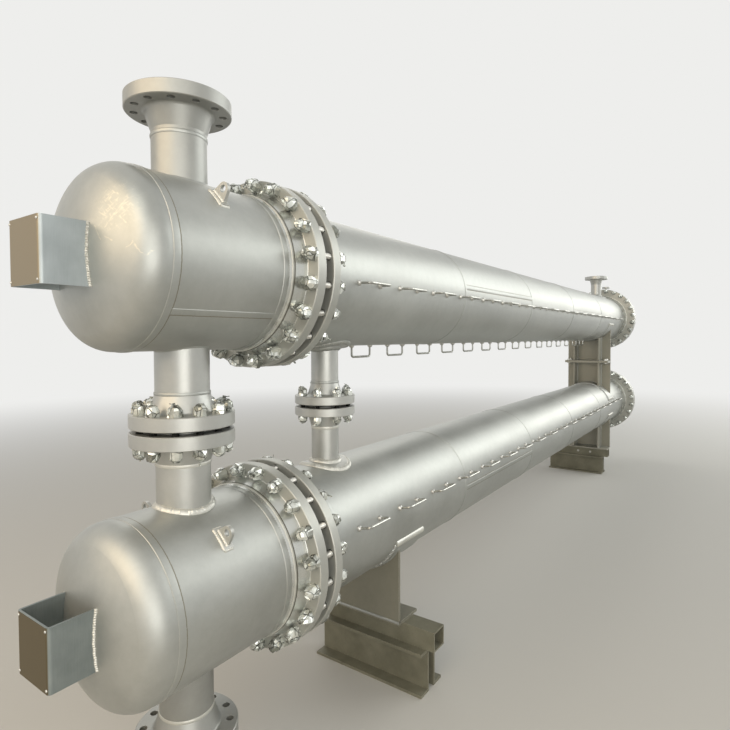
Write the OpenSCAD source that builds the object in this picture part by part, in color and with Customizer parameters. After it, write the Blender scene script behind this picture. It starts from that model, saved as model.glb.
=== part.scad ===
// Stacked pair of shell and tube heat exchangers, on saddles and temporary steel stands.
// Both exchangers lie along X, with the channel heads at the low X end and the floor at Z = 0.
// Along each exchanger, station 0 is the back of the channel's girth flange, where its hub begins.

/* [Stack] */
// Distance from an exchanger's axis to the face of each of its nozzles, but the channel's top one
nozzle_reach = 658; // [620:1:760]
// Distance from the upper axis to the face of the channel's top nozzle
top_nozzle_reach = 678; // [620:1:760]
// Thickness of the gasket between two linked nozzles
gasket_t = 3; // [2:0.5:6]
// Height of the lower axis above the lower saddles' rest face
saddle_h = 631; // [560:1:700]

/* [Channel] */
// Outside diameter of the channel barrel
channel_od = 688; // [600:1:720]
// Wall of the channel barrel and its head
channel_wall = 18; // [8:1:30]
// Length of the barrel, from the head's seam to the flange hub
barrel_l = 521; // [500:1:700]
// Straight rim of the head
head_straight = 35; // [5:1:60]
// Crown radius of the head
head_crown = 660; // [560:1:900]
// Knuckle radius of the head
head_knuckle = 105; // [60:1:140]

/* [Girth joint] */
// Diameter of the girth flanges
girth_od = 862; // [850:1:940]
// Thickness of the channel's flange
channel_flange_t = 56; // [30:1:90]
// Thickness of the shell's flange
shell_flange_t = 50; // [30:1:90]
// Diameter of the tubesheet
tubesheet_od = 752; // [725:1:764]
// Thickness of the tubesheet
tubesheet_t = 51; // [30:1:90]
// Pitch circle of the girth studs
girth_pcd = 808; // [804:1:812]
// Number of girth studs
girth_studs = 20; // [12:4:24]
// Stud holes in the girth flanges
girth_hole_d = 36; // [20:1:38]
// Length of each hub along the axis
hub_l = 100; // [50:1:120]
// How far each hub grows in radius towards its flange
hub_rise = 28; // [10:1:30]
// Fillet between each hub and its flange
hub_fillet = 4; // [1:0.5:4]
// Bevel on the outer edges of every flange
edge_bevel = 3; // [1:0.5:5]

/* [Shell] */
// Outside diameter of the shell
shell_od = 680; // [600:1:700]
// Wall of the shell
shell_wall = 16; // [8:1:30]
// Length of the shell between its two hubs
shell_l = 7366; // [7000:1:8000]

/* [Rear cover] */
// Diameter of the rear flanges
rear_od = 969; // [960:1:1040]
// Thickness of each rear flange
rear_flange_t = 60; // [30:1:90]
// Pitch circle of the rear studs
rear_pcd = 910; // [905:1:915]
// Number of rear studs
rear_studs = 24; // [16:4:28]
// Height of each raised face in the rear joint
rear_face_h = 3; // [2:0.5:6]
// Diameter of the raised faces in the rear joint
rear_face_d = 860; // [840:1:870]
// Outside diameter of the rear cover
cover_od = 800; // [760:1:804]
// Wall of the rear cover
cover_wall = 18; // [8:1:30]
// Straight part of the rear cover
cover_straight = 100; // [90:1:300]
// Crown radius of the rear cover
cover_crown = 800; // [700:1:1000]
// Knuckle radius of the rear cover
cover_knuckle = 125; // [80:1:160]

/* [Channel nozzles] */
// Distance from station 0 back to the channel nozzles' axis
channel_nozzle_back = 364; // [300:1:380]
// Outside diameter of the channel nozzles' pipe
channel_pipe_od = 219; // [168:1:240]
// Bore of the channel nozzles
channel_bore = 194; // [140:1:200]
// Diameter of the channel nozzles' flanges
channel_nf_od = 419; // [410:1:440]
// Thickness of the channel nozzles' flanges
channel_nf_t = 56; // [30:1:70]
// Diameter of the hub behind those flanges
channel_nf_hub = 273; // [245:1:285]
// Length of that hub
channel_nf_hub_l = 78; // [40:1:110]
// Diameter of the raised face on those flanges
channel_nf_face = 270; // [230:1:290]
// Pitch circle of their bolts
channel_nf_pcd = 349; // [340:1:360]
// Number of their bolts
channel_nf_bolts = 12; // [8:4:12]
// Bolt holes in those flanges
channel_nf_hole = 32; // [20:1:36]

/* [Shell nozzles] */
// Distance from station 0 to the link nozzles' axis on the shells
shell_link_at = 557; // [520:1:580]
// Distance of the far nozzles' axis in front of the rear flange
far_nozzle_back = 453; // [430:1:470]
// Outside diameter of the shell nozzles' pipe
shell_pipe_od = 150; // [114:1:160]
// Bore of the shell nozzles
shell_bore = 126; // [80:1:130]
// Diameter of the shell nozzles' flanges
shell_nf_od = 330; // [320:1:350]
// Thickness of the shell nozzles' flanges
shell_nf_t = 45; // [25:1:60]
// Diameter of the hub behind those flanges
shell_nf_hub = 189; // [170:1:200]
// Length of that hub
shell_nf_hub_l = 70; // [40:1:90]
// Diameter of the raised face on those flanges
shell_nf_face = 186; // [160:1:200]
// Pitch circle of their bolts
shell_nf_pcd = 267; // [255:1:275]
// Number of their bolts
shell_nf_bolts = 8; // [4:4:12]
// Bolt holes in those flanges
shell_nf_hole = 29; // [18:1:32]
// Height of the raised face on every nozzle flange
raised_face_h = 7; // [2:0.5:8]
// Fillet between each nozzle's hub and its flange
nozzle_fillet = 12; // [4:1:12]
// Diameter of the pads round the shell nozzles
nozzle_pad_od = 262; // [220:1:270]
// Thickness of those pads
nozzle_pad_t = 12; // [6:1:20]

/* [Vent nozzle] */
// Distance of the vent's axis behind the cover's hub
vent_back = 60; // [50:1:60]
// Height of the vent's face above the cover's wall
vent_l = 146; // [100:1:200]
// Outside diameter of the vent's pipe
vent_pipe_od = 33; // [26:1:42]
// Bore of the vent
vent_bore = 24; // [16:1:25]
// Diameter of the vent's flange
vent_flange_od = 124; // [110:1:140]
// Thickness of the vent's flange
vent_flange_t = 25; // [14:1:35]

/* [Saddles] */
// Distance from station 0 to the middle of the near saddles
near_saddle_at = 950; // [900:1:1100]
// Distance of the far saddles' middle in front of the rear flange
far_saddle_back = 980; // [900:1:1400]
// Width of each saddle across the exchanger
saddle_w = 600; // [500:1:640]
// Length of the base plate along the exchanger
base_l = 206; // [160:1:240]
// Thickness of the base plate
base_t = 16; // [8:1:30]
// Thickness of the web and ribs
web_t = 16; // [8:1:24]
// Distance of each rib from the middle
rib_y = 170; // [120:1:220]
// Length of the wrap plate along the exchanger
wrap_l = 300; // [260:1:320]
// Thickness of the wrap plate
wrap_t = 12; // [6:1:20]
// Half of the angle that the near saddle's wrap plate covers
near_wrap_half = 65.5; // [62:0.5:68]
// Half of the angle that the far and middle saddles' wrap plates cover
far_wrap_half = 70; // [66:0.5:72]
// Bolt holes that join the two middle saddles
joint_hole_d = 26; // [16:1:32]
// Distance of those holes from the ends and edges of the plate
joint_hole_in = 42; // [30:1:50]

/* [Stands] */
// How far the near tube reaches from the middle, towards the low Y side
near_tube_end = 504; // [490:1:600]
// Length of the upper tube
tube_l = 750; // [700:1:900]
// Width of the upper tube
tube_w = 118; // [80:1:160]
// Height of the upper tube
tube_h = 111; // [80:1:160]
// Wall of the upper tube
tube_wall = 8; // [4:1:12]
// How far the far tube starts from the middle, towards the low Y side
far_tube_start = 300; // [250:1:400]
// Length of the lower beam
beam_l = 760; // [700:1:900]
// Width of the lower beam
beam_w = 238; // [200:1:300]
// Height of the lower beam
beam_h = 250; // [160:1:300]
// How far the far beam reaches from the middle, towards the high Y side
far_beam_end = 529; // [490:1:600]
// Slot between the beam's two channels
beam_slot = 58; // [30:1:80]
// Thickness of the channels' webs
beam_web = 12; // [8:1:20]
// Thickness of the channels' flanges
beam_flange = 16; // [8:1:24]
// How far the near tube overhangs its beam
tube_overhang = 50; // [0:1:60]

/* [Nameplate brackets] */
// Distance of the bracket's front face before the head's seam
bracket_out = 333; // [280:1:355]
// Width of the bracket
bracket_w = 216; // [160:1:240]
// Height of the bracket
bracket_h = 217; // [150:1:240]
// Plate of the bracket
bracket_t = 8; // [4:1:12]
// Outside radius of the bracket's two bends
bracket_bend = 14; // [12:1:24]
// How far the upper bracket sits below its axis
upper_bracket_drop = 12; // [0:1:30]

/* [Lifting lugs] */
// Angle of the lugs from the top
lug_angle = 45; // [38:1:60]
// Width of a lug at its foot
lug_w = 76; // [60:1:88]
// Thickness of a lug
lug_t = 14; // [10:1:24]
// Height of the lug's eye above the barrel
lug_eye_h = 42; // [36:1:60]
// Hole in the eye
lug_hole_d = 30; // [20:1:34]
// Rounded end of the lug
lug_end_r = 27; // [24:1:32]
// Length of the pad round the barrel
lug_pad_w = 94; // [90:1:140]
// Width of the pad along the barrel
lug_pad_l = 40; // [32:1:80]
// Thickness of the pad
lug_pad_t = 8; // [4:1:12]

/* [Insulation clips] */
// Distance from station 0 to the first clip
clip_first = 420; // [400:1:440]
// Pitch of the clips
clip_pitch = 388; // [340:1:400]
// Number of clips in a row
clip_count = 18; // [6:1:18]
// Length of a clip
clip_l = 187; // [120:1:200]
// Height of a clip above the shell
clip_h = 68; // [40:1:80]
// Rod diameter of a clip
clip_rod = 13; // [6:1:16]
// Angle of the upper exchanger's side rows above the horizontal
upper_clip_angle = -3.7; // [-15:0.1:15]
// Angle of the lower exchanger's side rows above the horizontal
lower_clip_angle = 11.7; // [-15:0.1:15]

/* [Hidden] */
$fn = 96;
slack = 1;
fillet_steps = 4;
channel_r = channel_od / 2;
shell_r = shell_od / 2;
cover_r = cover_od / 2;

// Stations along an exchanger
x_seam = -hub_l - barrel_l;
x_sheet = channel_flange_t;
x_shell_flange = x_sheet + tubesheet_t;
x_shell_hub = x_shell_flange + shell_flange_t;
x_shell = x_shell_hub + hub_l;
x_rear_hub = x_shell + shell_l;
x_rear = x_rear_hub + hub_l;
x_cover_flange = x_rear + rear_flange_t + 2 * rear_face_h;
x_cover_hub = x_cover_flange + rear_flange_t;
x_cover = x_cover_hub + hub_l;
x_bracket = x_seam - bracket_out;

function dish_rise(r, crown, knuckle) = sqrt(pow(crown - knuckle, 2) - pow(r - knuckle, 2));
function dish_depth(r, crown, knuckle) = crown - dish_rise(r, crown, knuckle);

x_end = x_cover + cover_straight + dish_depth(cover_r, cover_crown, cover_knuckle);
x_middle = (x_bracket + x_end) / 2;
x_near_saddle = near_saddle_at;
x_far_saddle = x_rear - far_saddle_back;
x_far_nozzle = x_rear - far_nozzle_back;

// Heights
stand_h = tube_h + beam_h;
lower_z = stand_h + saddle_h;
upper_z = lower_z + 2 * nozzle_reach + gasket_t;

// Nozzle sizes in one list: pipe, bore, flange, thickness, hub, hub length, face, pitch circle,
// number of bolts, bolt hole
channel_nozzle = [channel_pipe_od, channel_bore, channel_nf_od, channel_nf_t, channel_nf_hub,
    channel_nf_hub_l, channel_nf_face, channel_nf_pcd, channel_nf_bolts, channel_nf_hole];
shell_nozzle = [shell_pipe_od, shell_bore, shell_nf_od, shell_nf_t, shell_nf_hub,
    shell_nf_hub_l, shell_nf_face, shell_nf_pcd, shell_nf_bolts, shell_nf_hole];

// Helpers

// Puts what is drawn about an exchanger's axis in its place
module on_axis(z) {
    translate([-x_middle, 0, z])
        children();
}

// Turns an outline of [radius, station] about the X axis
module turned() {
    rotate([0, 90, 0])
        rotate_extrude()
            children();
}

module bar_x(r, from, to) {
    translate([from, 0, 0])
        rotate([0, 90, 0])
            cylinder(r = r, h = to - from);
}

// Half outline of a solid dished end that bulges towards low stations from station 0
module dish_outline(r, crown, knuckle) {
    rise = dish_rise(r, crown, knuckle);
    depth = crown - rise;
    knuckle_c = [r - knuckle, 0];
    along = (knuckle_c - [0, rise]) / (crown - knuckle);
    split = knuckle_c + 2 * knuckle * along;
    intersection() {
        translate([0, rise])
            circle(r = crown);
        polygon([[0, 0], [0, -2 * depth], split, knuckle_c]);
    }
    intersection() {
        translate(knuckle_c)
            circle(r = knuckle);
        polygon([knuckle_c, split, [r + knuckle, split[1]], [r + knuckle, 0]]);
    }
}

// A dished end with its straight rim; the seam is at station 0
module dished_end(r, wall, straight, crown, knuckle) {
    turned()
        difference() {
            union() {
                translate([0, -straight])
                    dish_outline(r, crown, knuckle);
                translate([0, -straight])
                    square([r, straight]);
            }
            translate([0, -straight])
                dish_outline(r - wall, crown - wall, knuckle - wall);
            translate([0, -straight])
                square([r - wall, straight]);
        }
}

// Points of a fillet in the corner at p, between the edge that arrives along a and the edge that
// leaves along b, which are both one long
function fillet(p, a, b, r) = let(
    half = acos(-(a * b)) / 2,
    centre = p + (b - a) / norm(b - a) * r / sin(half),
    from = p - a * r / tan(half) - centre,
    to = p + b * r / tan(half) - centre,
    sweep = 180 - 2 * half
) [for (i = [0 : fillet_steps])
    centre + (from * sin(sweep * (1 - i / fillet_steps)) + to * sin(sweep * i / fillet_steps)) / sin(sweep)];

function unit(v) = v / norm(v);

// A ring of holes along X, set to straddle the vertical
module stud_holes(pcd, count, d, from, to) {
    for (i = [0 : count - 1])
        rotate([360 * (i + 0.5) / count, 0, 0])
            translate([0, 0, pcd / 2])
                bar_x(d / 2, from, to);
}

// A flange with a tapered hub on its low side, from station 0 at the hub's thick end
module hubbed_flange(bore_r, neck_r, od, t, pcd, count, hole_d, face_h, face_d) {
    difference() {
        turned()
            polygon(concat(
                [[bore_r, -hub_l], [neck_r, -hub_l]],
                fillet([neck_r + hub_rise, 0], unit([hub_rise, hub_l]), [1, 0], hub_fillet),
                [
                    [od / 2 - edge_bevel, 0], [od / 2, edge_bevel], [od / 2, t - edge_bevel],
                    [od / 2 - edge_bevel, t], [face_d / 2, t], [face_d / 2, t + face_h],
                    [bore_r, t + face_h]
                ]
            ));
        stud_holes(pcd, count, hole_d, -slack, t + slack);
    }
}

// Channels

module channel_head() {
    color("silver")
        translate([x_seam, 0, 0])
            dished_end(channel_r, channel_wall, head_straight, head_crown, head_knuckle);
}

module channel_barrel() {
    color("silver")
        difference() {
            bar_x(channel_r, x_seam, -hub_l);
            bar_x(channel_r - channel_wall, x_seam - slack, -hub_l + slack);
            translate([-channel_nozzle_back, 0, -channel_od])
                cylinder(d = channel_pipe_od, h = 2 * channel_od);
        }
}

module channel_flange() {
    color("silver")
        hubbed_flange(channel_r - channel_wall, channel_r, girth_od, channel_flange_t,
            girth_pcd, girth_studs, girth_hole_d, 0, tubesheet_od);
}

module tubesheet() {
    color("dimgray")
        bar_x(tubesheet_od / 2, x_sheet, x_shell_flange);
}

// Bent plate that carries the nameplate, welded to the head
module nameplate_bracket(drop) {
    color("lightsteelblue")
        difference() {
            translate([x_bracket, 0, -drop - bracket_h / 2])
                linear_extrude(bracket_h)
                    bracket_outline();
            translate([x_seam - head_straight, 0, 0])
                turned()
                    dish_outline(channel_r, head_crown, head_knuckle);
        }
}

module bracket_outline() {
    difference() {
        bent_outline(bracket_w / 2, bracket_bend, 0);
        bent_outline(bracket_w / 2 - bracket_t, bracket_bend - bracket_t, bracket_t);
    }
}

// Box that is open towards the head, with its two front corners rounded
module bent_outline(half, bend, start) {
    translate([start + bend, -half])
        square([bracket_out - head_straight - start - bend, 2 * half]);
    translate([start, bend - half])
        square([bend, 2 * (half - bend)]);
    for (side = [-1, 1])
        translate([start + bend, side * (half - bend)])
            circle(r = bend);
}

module lifting_lugs() {
    color("silver")
        for (side = [-1, 1])
            translate([-channel_nozzle_back, 0, 0])
                rotate([side * lug_angle, 0, 0])
                    lifting_lug();
}

// A lug that stands up from the barrel, square to the exchanger's axis
module lifting_lug() {
    eye_z = channel_r + lug_eye_h;
    foot_z = channel_r + lug_pad_t;
    foot_half = lug_w / 2;
    reach = norm([foot_half, foot_z - eye_z]);
    turn = atan2(foot_z - eye_z, foot_half) + acos(lug_end_r / reach);
    touch = [lug_end_r * cos(turn), eye_z + lug_end_r * sin(turn)];
    difference() {
        union() {
            rotate([90, 0, 90])
                linear_extrude(lug_t, center = true)
                    lug_outline(eye_z, foot_half, touch);
            intersection() {
                bar_x(channel_r + lug_pad_t, -lug_pad_l / 2, lug_pad_l / 2);
                translate([-lug_pad_l, -lug_pad_w / 2, 0])
                    cube([2 * lug_pad_l, lug_pad_w, channel_od]);
            }
        }
        bar_x(channel_r, -lug_pad_l, lug_pad_l);
        translate([0, 0, eye_z])
            bar_x(lug_hole_d / 2, -lug_t, lug_t);
    }
}

module lug_outline(eye_z, foot_half, touch) {
    polygon([
        [-foot_half, channel_r - lug_pad_t], [foot_half, channel_r - lug_pad_t],
        [foot_half, channel_r + lug_pad_t], touch, [-touch[0], touch[1]],
        [-foot_half, channel_r + lug_pad_t]
    ]);
    translate([0, eye_z])
        circle(r = lug_end_r);
}

// Shells

module shell_flange() {
    color("silver")
        translate([x_shell_hub, 0, 0])
            mirror([1, 0, 0])
                hubbed_flange(shell_r - shell_wall, shell_r, girth_od, shell_flange_t,
                    girth_pcd, girth_studs, girth_hole_d, 0, tubesheet_od);
}

// flip is 1 where the link nozzle is below the shell, and -1 where it is above
module shell(flip) {
    color("silver")
        difference() {
            bar_x(shell_r, x_shell, x_rear_hub);
            bar_x(shell_r - shell_wall, x_shell - slack, x_rear_hub + slack);
            translate([shell_link_at, 0, -flip * shell_r])
                cylinder(d = shell_pipe_od, h = shell_r, center = true);
            translate([x_far_nozzle, 0, flip * shell_r])
                cylinder(d = shell_pipe_od, h = shell_r, center = true);
        }
}

module rear_shell_flange() {
    color("silver")
        translate([x_rear, 0, 0])
            hubbed_flange(shell_r - shell_wall, shell_r, rear_od, rear_flange_t,
                rear_pcd, rear_studs, girth_hole_d, rear_face_h, rear_face_d);
}

module rear_cover_flange() {
    color("silver")
        translate([x_cover_hub, 0, 0])
            mirror([1, 0, 0])
                hubbed_flange(cover_r - cover_wall, cover_r, rear_od, rear_flange_t,
                    rear_pcd, rear_studs, girth_hole_d, rear_face_h, rear_face_d);
}

// vented is true where the cover carries the vent nozzle
module rear_cover(vented) {
    color("silver")
        translate([x_cover, 0, 0])
            difference() {
                mirror([1, 0, 0])
                    dished_end(cover_r, cover_wall, cover_straight, cover_crown, cover_knuckle);
                if (vented)
                    translate([vent_back, 0, 0])
                        cylinder(d = vent_pipe_od, h = cover_od);
            }
}

// U-shaped rod clips in two side rows at an angle above the horizontal, and one row below; blocked
// lists [station, half length] of what leaves no room for a clip below
module insulation_clips(angle, blocked) {
    color("gainsboro")
        for (i = [0 : clip_count - 1]) {
            x = clip_first + i * clip_pitch;
            for (side = [-1, 1])
                rotate([side * (90 - angle), 0, 0])
                    clip(x);
            if (has_room(x, blocked))
                rotate([180, 0, 0])
                    clip(x);
        }
}

function has_room(x, blocked) =
    len([for (b = blocked) if (abs(x + clip_l / 2 - b[0]) < b[1] + clip_l / 2 + clip_rod) b]) == 0;

module clip(x) {
    top = shell_r + clip_h;
    for (end = [x, x + clip_l]) {
        translate([end, 0, shell_r])
            cylinder(d = clip_rod, h = clip_h);
        translate([end, 0, top])
            sphere(d = clip_rod);
    }
    translate([0, 0, top])
        bar_x(clip_rod / 2, x, x + clip_l);
}

// Nozzles

// Weld neck nozzle along +Z from the vessel's axis; its foot follows the vessel's inside wall
module nozzle(s, inside_r, reach) {
    face_z = reach - raised_face_h;
    back_z = face_z - s[3];
    color("silver")
        difference() {
            rotate_extrude()
                polygon(concat(
                    [[s[1] / 2, 0], [s[0] / 2, 0], [s[0] / 2, back_z - s[5]]],
                    fillet([s[4] / 2, back_z], unit([(s[4] - s[0]) / 2, s[5]]), [1, 0], nozzle_fillet),
                    [
                        [s[2] / 2 - edge_bevel, back_z], [s[2] / 2, back_z + edge_bevel],
                        [s[2] / 2, face_z - edge_bevel], [s[2] / 2 - edge_bevel, face_z],
                        [s[6] / 2, face_z], [s[6] / 2, reach], [s[1] / 2, reach]
                    ]
                ));
            bar_x(inside_r, -s[2], s[2]);
            for (i = [0 : s[8] - 1])
                rotate([0, 0, 360 * (i + 0.5) / s[8]])
                    translate([s[7] / 2, 0, back_z - slack])
                        cylinder(d = s[9], h = s[3] + 2 * slack);
        }
}

module channel_nozzle_at(z, flip, reach) {
    on_axis(z)
        translate([-channel_nozzle_back, 0, 0])
            rotate([flip ? 180 : 0, 0, 0])
                nozzle(channel_nozzle, channel_r - channel_wall, reach);
}

module shell_nozzle_at(x, z, flip) {
    on_axis(z)
        translate([x, 0, 0])
            rotate([flip ? 180 : 0, 0, 0])
                nozzle(shell_nozzle, shell_r - shell_wall, nozzle_reach);
}

// Spiral wound gasket with its centring ring, between two linked nozzles
module link_gasket(x, s) {
    color("dimgray")
        translate([x - x_middle, 0, lower_z + nozzle_reach])
            difference() {
                cylinder(d = s[7] - s[9], h = gasket_t);
                translate([0, 0, -slack])
                    cylinder(d = s[1], h = gasket_t + 2 * slack);
            }
}

// Reinforcing pad on top of a shell, round a nozzle
module nozzle_pad() {
    difference() {
        intersection() {
            bar_x(shell_r + nozzle_pad_t, -nozzle_pad_od, nozzle_pad_od);
            cylinder(d = nozzle_pad_od, h = shell_od);
        }
        bar_x(shell_r, -nozzle_pad_od, nozzle_pad_od);
        cylinder(d = shell_pipe_od, h = shell_od);
    }
}

module nozzle_pads() {
    color("silver") {
        on_axis(upper_z) {
            translate([shell_link_at, 0, 0])
                rotate([180, 0, 0])
                    nozzle_pad();
            translate([x_far_nozzle, 0, 0])
                nozzle_pad();
        }
        on_axis(lower_z) {
            translate([shell_link_at, 0, 0])
                nozzle_pad();
            translate([x_far_nozzle, 0, 0])
                rotate([180, 0, 0])
                    nozzle_pad();
        }
    }
}

module vent_nozzle() {
    top = cover_r + vent_l;
    color("silver")
        on_axis(upper_z)
            translate([x_cover + vent_back, 0, 0])
                difference() {
                    union() {
                        cylinder(d = vent_pipe_od, h = top);
                        translate([0, 0, top - vent_flange_t])
                            cylinder(d = vent_flange_od, h = vent_flange_t);
                    }
                    bar_x(cover_r - cover_wall, -cover_od, cover_od);
                    cylinder(d = vent_bore, h = top + slack);
                }
}

// Saddles

// Saddle under a shell: h is from the axis to its rest face, web_side is the end that the web
// stands at, wrap_half is half of the wrap plate's angle, and drilled says whether the base plate
// is bolted down
module saddle(h, web_side, wrap_half, drilled) {
    wrap_r = shell_r + wrap_t;
    half = saddle_w / 2;
    web_top = -sqrt(pow(wrap_r, 2) - pow(half, 2));
    rib_top = -sqrt(pow(wrap_r, 2) - pow(rib_y - web_t / 2, 2)) + wrap_t / 2;
    web_x = web_side * (base_l / 2 - web_t / 2);
    color("gray")
        difference() {
            union() {
                translate([-base_l / 2, -half, -h])
                    cube([base_l, saddle_w, base_t]);
                translate([web_x - web_t / 2, -half, -h])
                    cube([web_t, saddle_w, h + web_top]);
                for (side = [-1, 1])
                    translate([-base_l / 2, side * rib_y - web_t / 2, -h])
                        cube([base_l, web_t, h + rib_top]);
                wrap_plate(wrap_r, wrap_half);
            }
            bar_x(shell_r, -wrap_l, wrap_l);
            if (drilled)
                for (sx = [-1, 1], sy = [-1, 1])
                    translate([sx * (base_l / 2 - joint_hole_in), sy * (half - joint_hole_in), -h - slack])
                        cylinder(d = joint_hole_d, h = base_t + 2 * slack);
        }
}

module wrap_plate(wrap_r, wrap_half) {
    reach = 2 * shell_od;
    intersection() {
        bar_x(wrap_r, -wrap_l / 2, wrap_l / 2);
        rotate([90, 0, 90])
            linear_extrude(wrap_l, center = true)
                polygon([
                    [0, 0], [-reach * sin(wrap_half), -reach * cos(wrap_half)], [0, -reach],
                    [reach * sin(wrap_half), -reach * cos(wrap_half)]
                ]);
    }
}

// Stands

module stand_tube(x, y_low) {
    color("dimgray")
        translate([x - x_middle - tube_w / 2, y_low, beam_h])
            difference() {
                cube([tube_w, tube_l, tube_h]);
                translate([tube_wall, -slack, tube_wall])
                    cube([tube_w - 2 * tube_wall, tube_l + 2 * slack, tube_h - 2 * tube_wall]);
            }
}

// Two channels back to back with a slot between them
module stand_beam(x, y_low) {
    leg = (beam_w - beam_slot) / 2;
    color("dimgray")
        translate([x - x_middle, y_low, 0])
            for (side = [0, 1])
                mirror([side, 0, 0])
                    translate([beam_slot / 2, 0, 0])
                        difference() {
                            cube([leg, beam_l, beam_h]);
                            translate([beam_web, -slack, beam_flange])
                                cube([leg, beam_l + 2 * slack, beam_h - 2 * beam_flange]);
                        }
}

near_below = [[near_saddle_at, wrap_l / 2], [x_far_saddle, wrap_l / 2],
    [x_far_nozzle, nozzle_pad_od / 2]];
middle_below = [[shell_link_at, nozzle_pad_od / 2], [x_far_saddle, wrap_l / 2]];

on_axis(upper_z) channel_head();  // upper_channel_head
on_axis(upper_z) channel_barrel();  // upper_channel_barrel
on_axis(upper_z) channel_flange();  // upper_channel_flange
on_axis(upper_z) tubesheet();  // upper_tubesheet
on_axis(upper_z) shell_flange();  // upper_shell_flange
on_axis(upper_z) shell(1);  // upper_shell
on_axis(upper_z) rear_shell_flange();  // upper_rear_shell_flange
on_axis(upper_z) rear_cover_flange();  // upper_rear_cover_flange
on_axis(upper_z) rear_cover(true);  // upper_rear_cover
on_axis(upper_z) nameplate_bracket(upper_bracket_drop);  // upper_nameplate_bracket
on_axis(upper_z) lifting_lugs();  // upper_lifting_lugs
on_axis(upper_z) insulation_clips(upper_clip_angle, middle_below);  // upper_insulation_clips
on_axis(lower_z) channel_head();  // lower_channel_head
on_axis(lower_z) channel_barrel();  // lower_channel_barrel
on_axis(lower_z) channel_flange();  // lower_channel_flange
on_axis(lower_z) tubesheet();  // lower_tubesheet
on_axis(lower_z) shell_flange();  // lower_shell_flange
on_axis(lower_z) shell(-1);  // lower_shell
on_axis(lower_z) rear_shell_flange();  // lower_rear_shell_flange
on_axis(lower_z) rear_cover_flange();  // lower_rear_cover_flange
on_axis(lower_z) rear_cover(false);  // lower_rear_cover
on_axis(lower_z) nameplate_bracket(0);  // lower_nameplate_bracket
on_axis(lower_z) lifting_lugs();  // lower_lifting_lugs
on_axis(lower_z) insulation_clips(lower_clip_angle, near_below);  // lower_insulation_clips
channel_nozzle_at(upper_z, false, top_nozzle_reach);  // channel_top_nozzle
channel_nozzle_at(upper_z, true, nozzle_reach);  // upper_channel_link_nozzle
link_gasket(-channel_nozzle_back, channel_nozzle);  // channel_link_gasket
channel_nozzle_at(lower_z, false, nozzle_reach);  // lower_channel_link_nozzle
channel_nozzle_at(lower_z, true, nozzle_reach);  // channel_bottom_nozzle
shell_nozzle_at(shell_link_at, upper_z, true);  // upper_shell_link_nozzle
link_gasket(shell_link_at, shell_nozzle);  // shell_link_gasket
shell_nozzle_at(shell_link_at, lower_z, false);  // lower_shell_link_nozzle
shell_nozzle_at(x_far_nozzle, upper_z, false);  // shell_top_nozzle
shell_nozzle_at(x_far_nozzle, lower_z, true);  // shell_bottom_nozzle
nozzle_pads();  // shell_nozzle_pads
vent_nozzle();  // rear_cover_vent_nozzle
on_axis(lower_z) translate([x_near_saddle, 0, 0]) saddle(saddle_h, -1, near_wrap_half, false);  // near_saddle
on_axis(lower_z) translate([x_far_saddle, 0, 0]) saddle(saddle_h, 1, far_wrap_half, false);  // far_saddle
on_axis(upper_z) translate([x_far_saddle, 0, 0])  // upper_middle_saddle
        saddle(nozzle_reach + gasket_t / 2, 1, far_wrap_half, true);
on_axis(lower_z) translate([x_far_saddle, 0, 0])  // lower_middle_saddle
        mirror([0, 0, 1])
            saddle(nozzle_reach + gasket_t / 2, 1, far_wrap_half, true);
stand_tube(x_near_saddle, -near_tube_end);  // near_stand_tube
stand_beam(x_near_saddle, tube_overhang - near_tube_end);  // near_stand_beam
stand_tube(x_far_saddle, -far_tube_start);  // far_stand_tube
stand_beam(x_far_saddle, far_beam_end - beam_l);  // far_stand_beam
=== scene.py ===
"""Visual model of two stacked shell and tube heat exchangers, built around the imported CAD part.

The frame is in metres, with +X along the exchangers from their channel heads and the floor at
Z = 0. Sizes in the classes are millimetres, because that is how the pieces are made.
"""

import logging
import math
import random
from collections.abc import Callable
from dataclasses import dataclass, field
from enum import Enum
from functools import cache

import bpy
from mathutils import Matrix, Vector


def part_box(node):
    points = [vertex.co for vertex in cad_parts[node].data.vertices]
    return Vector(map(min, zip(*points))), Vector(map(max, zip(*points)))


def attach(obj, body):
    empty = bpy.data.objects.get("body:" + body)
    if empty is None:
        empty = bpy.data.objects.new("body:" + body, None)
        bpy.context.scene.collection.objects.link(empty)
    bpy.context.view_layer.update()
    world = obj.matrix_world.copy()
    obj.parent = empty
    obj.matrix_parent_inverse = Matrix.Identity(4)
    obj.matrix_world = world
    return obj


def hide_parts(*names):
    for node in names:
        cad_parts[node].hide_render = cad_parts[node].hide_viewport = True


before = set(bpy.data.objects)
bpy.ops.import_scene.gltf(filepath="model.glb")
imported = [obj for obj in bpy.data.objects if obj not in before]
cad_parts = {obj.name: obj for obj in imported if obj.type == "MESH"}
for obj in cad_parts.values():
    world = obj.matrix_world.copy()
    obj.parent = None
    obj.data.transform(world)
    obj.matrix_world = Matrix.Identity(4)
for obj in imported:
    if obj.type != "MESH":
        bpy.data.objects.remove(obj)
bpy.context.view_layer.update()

MM = 0.001
FULL_TURN = 2 * math.pi
HEX_STEP = math.pi / 3
ROOT_BODY = "root"

# Edges sharper than these stay sharp
SEAM_CREASE_DEG = 30.0
NUT_CREASE_DEG = 25.0
FILM_CREASE_DEG = 20.0

X_AXIS = Vector((1, 0, 0))
Y_AXIS = Vector((0, 1, 0))
Z_AXIS = Vector((0, 0, 1))

Tree = bpy.types.NodeTree
Socket = bpy.types.NodeSocket
Span = tuple[float, float]
Place = tuple[float, float, float]

log = logging.getLogger("exchangers")


class Level(Enum):
    """The two exchangers of the stack."""

    UPPER = "upper"
    LOWER = "lower"


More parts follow.
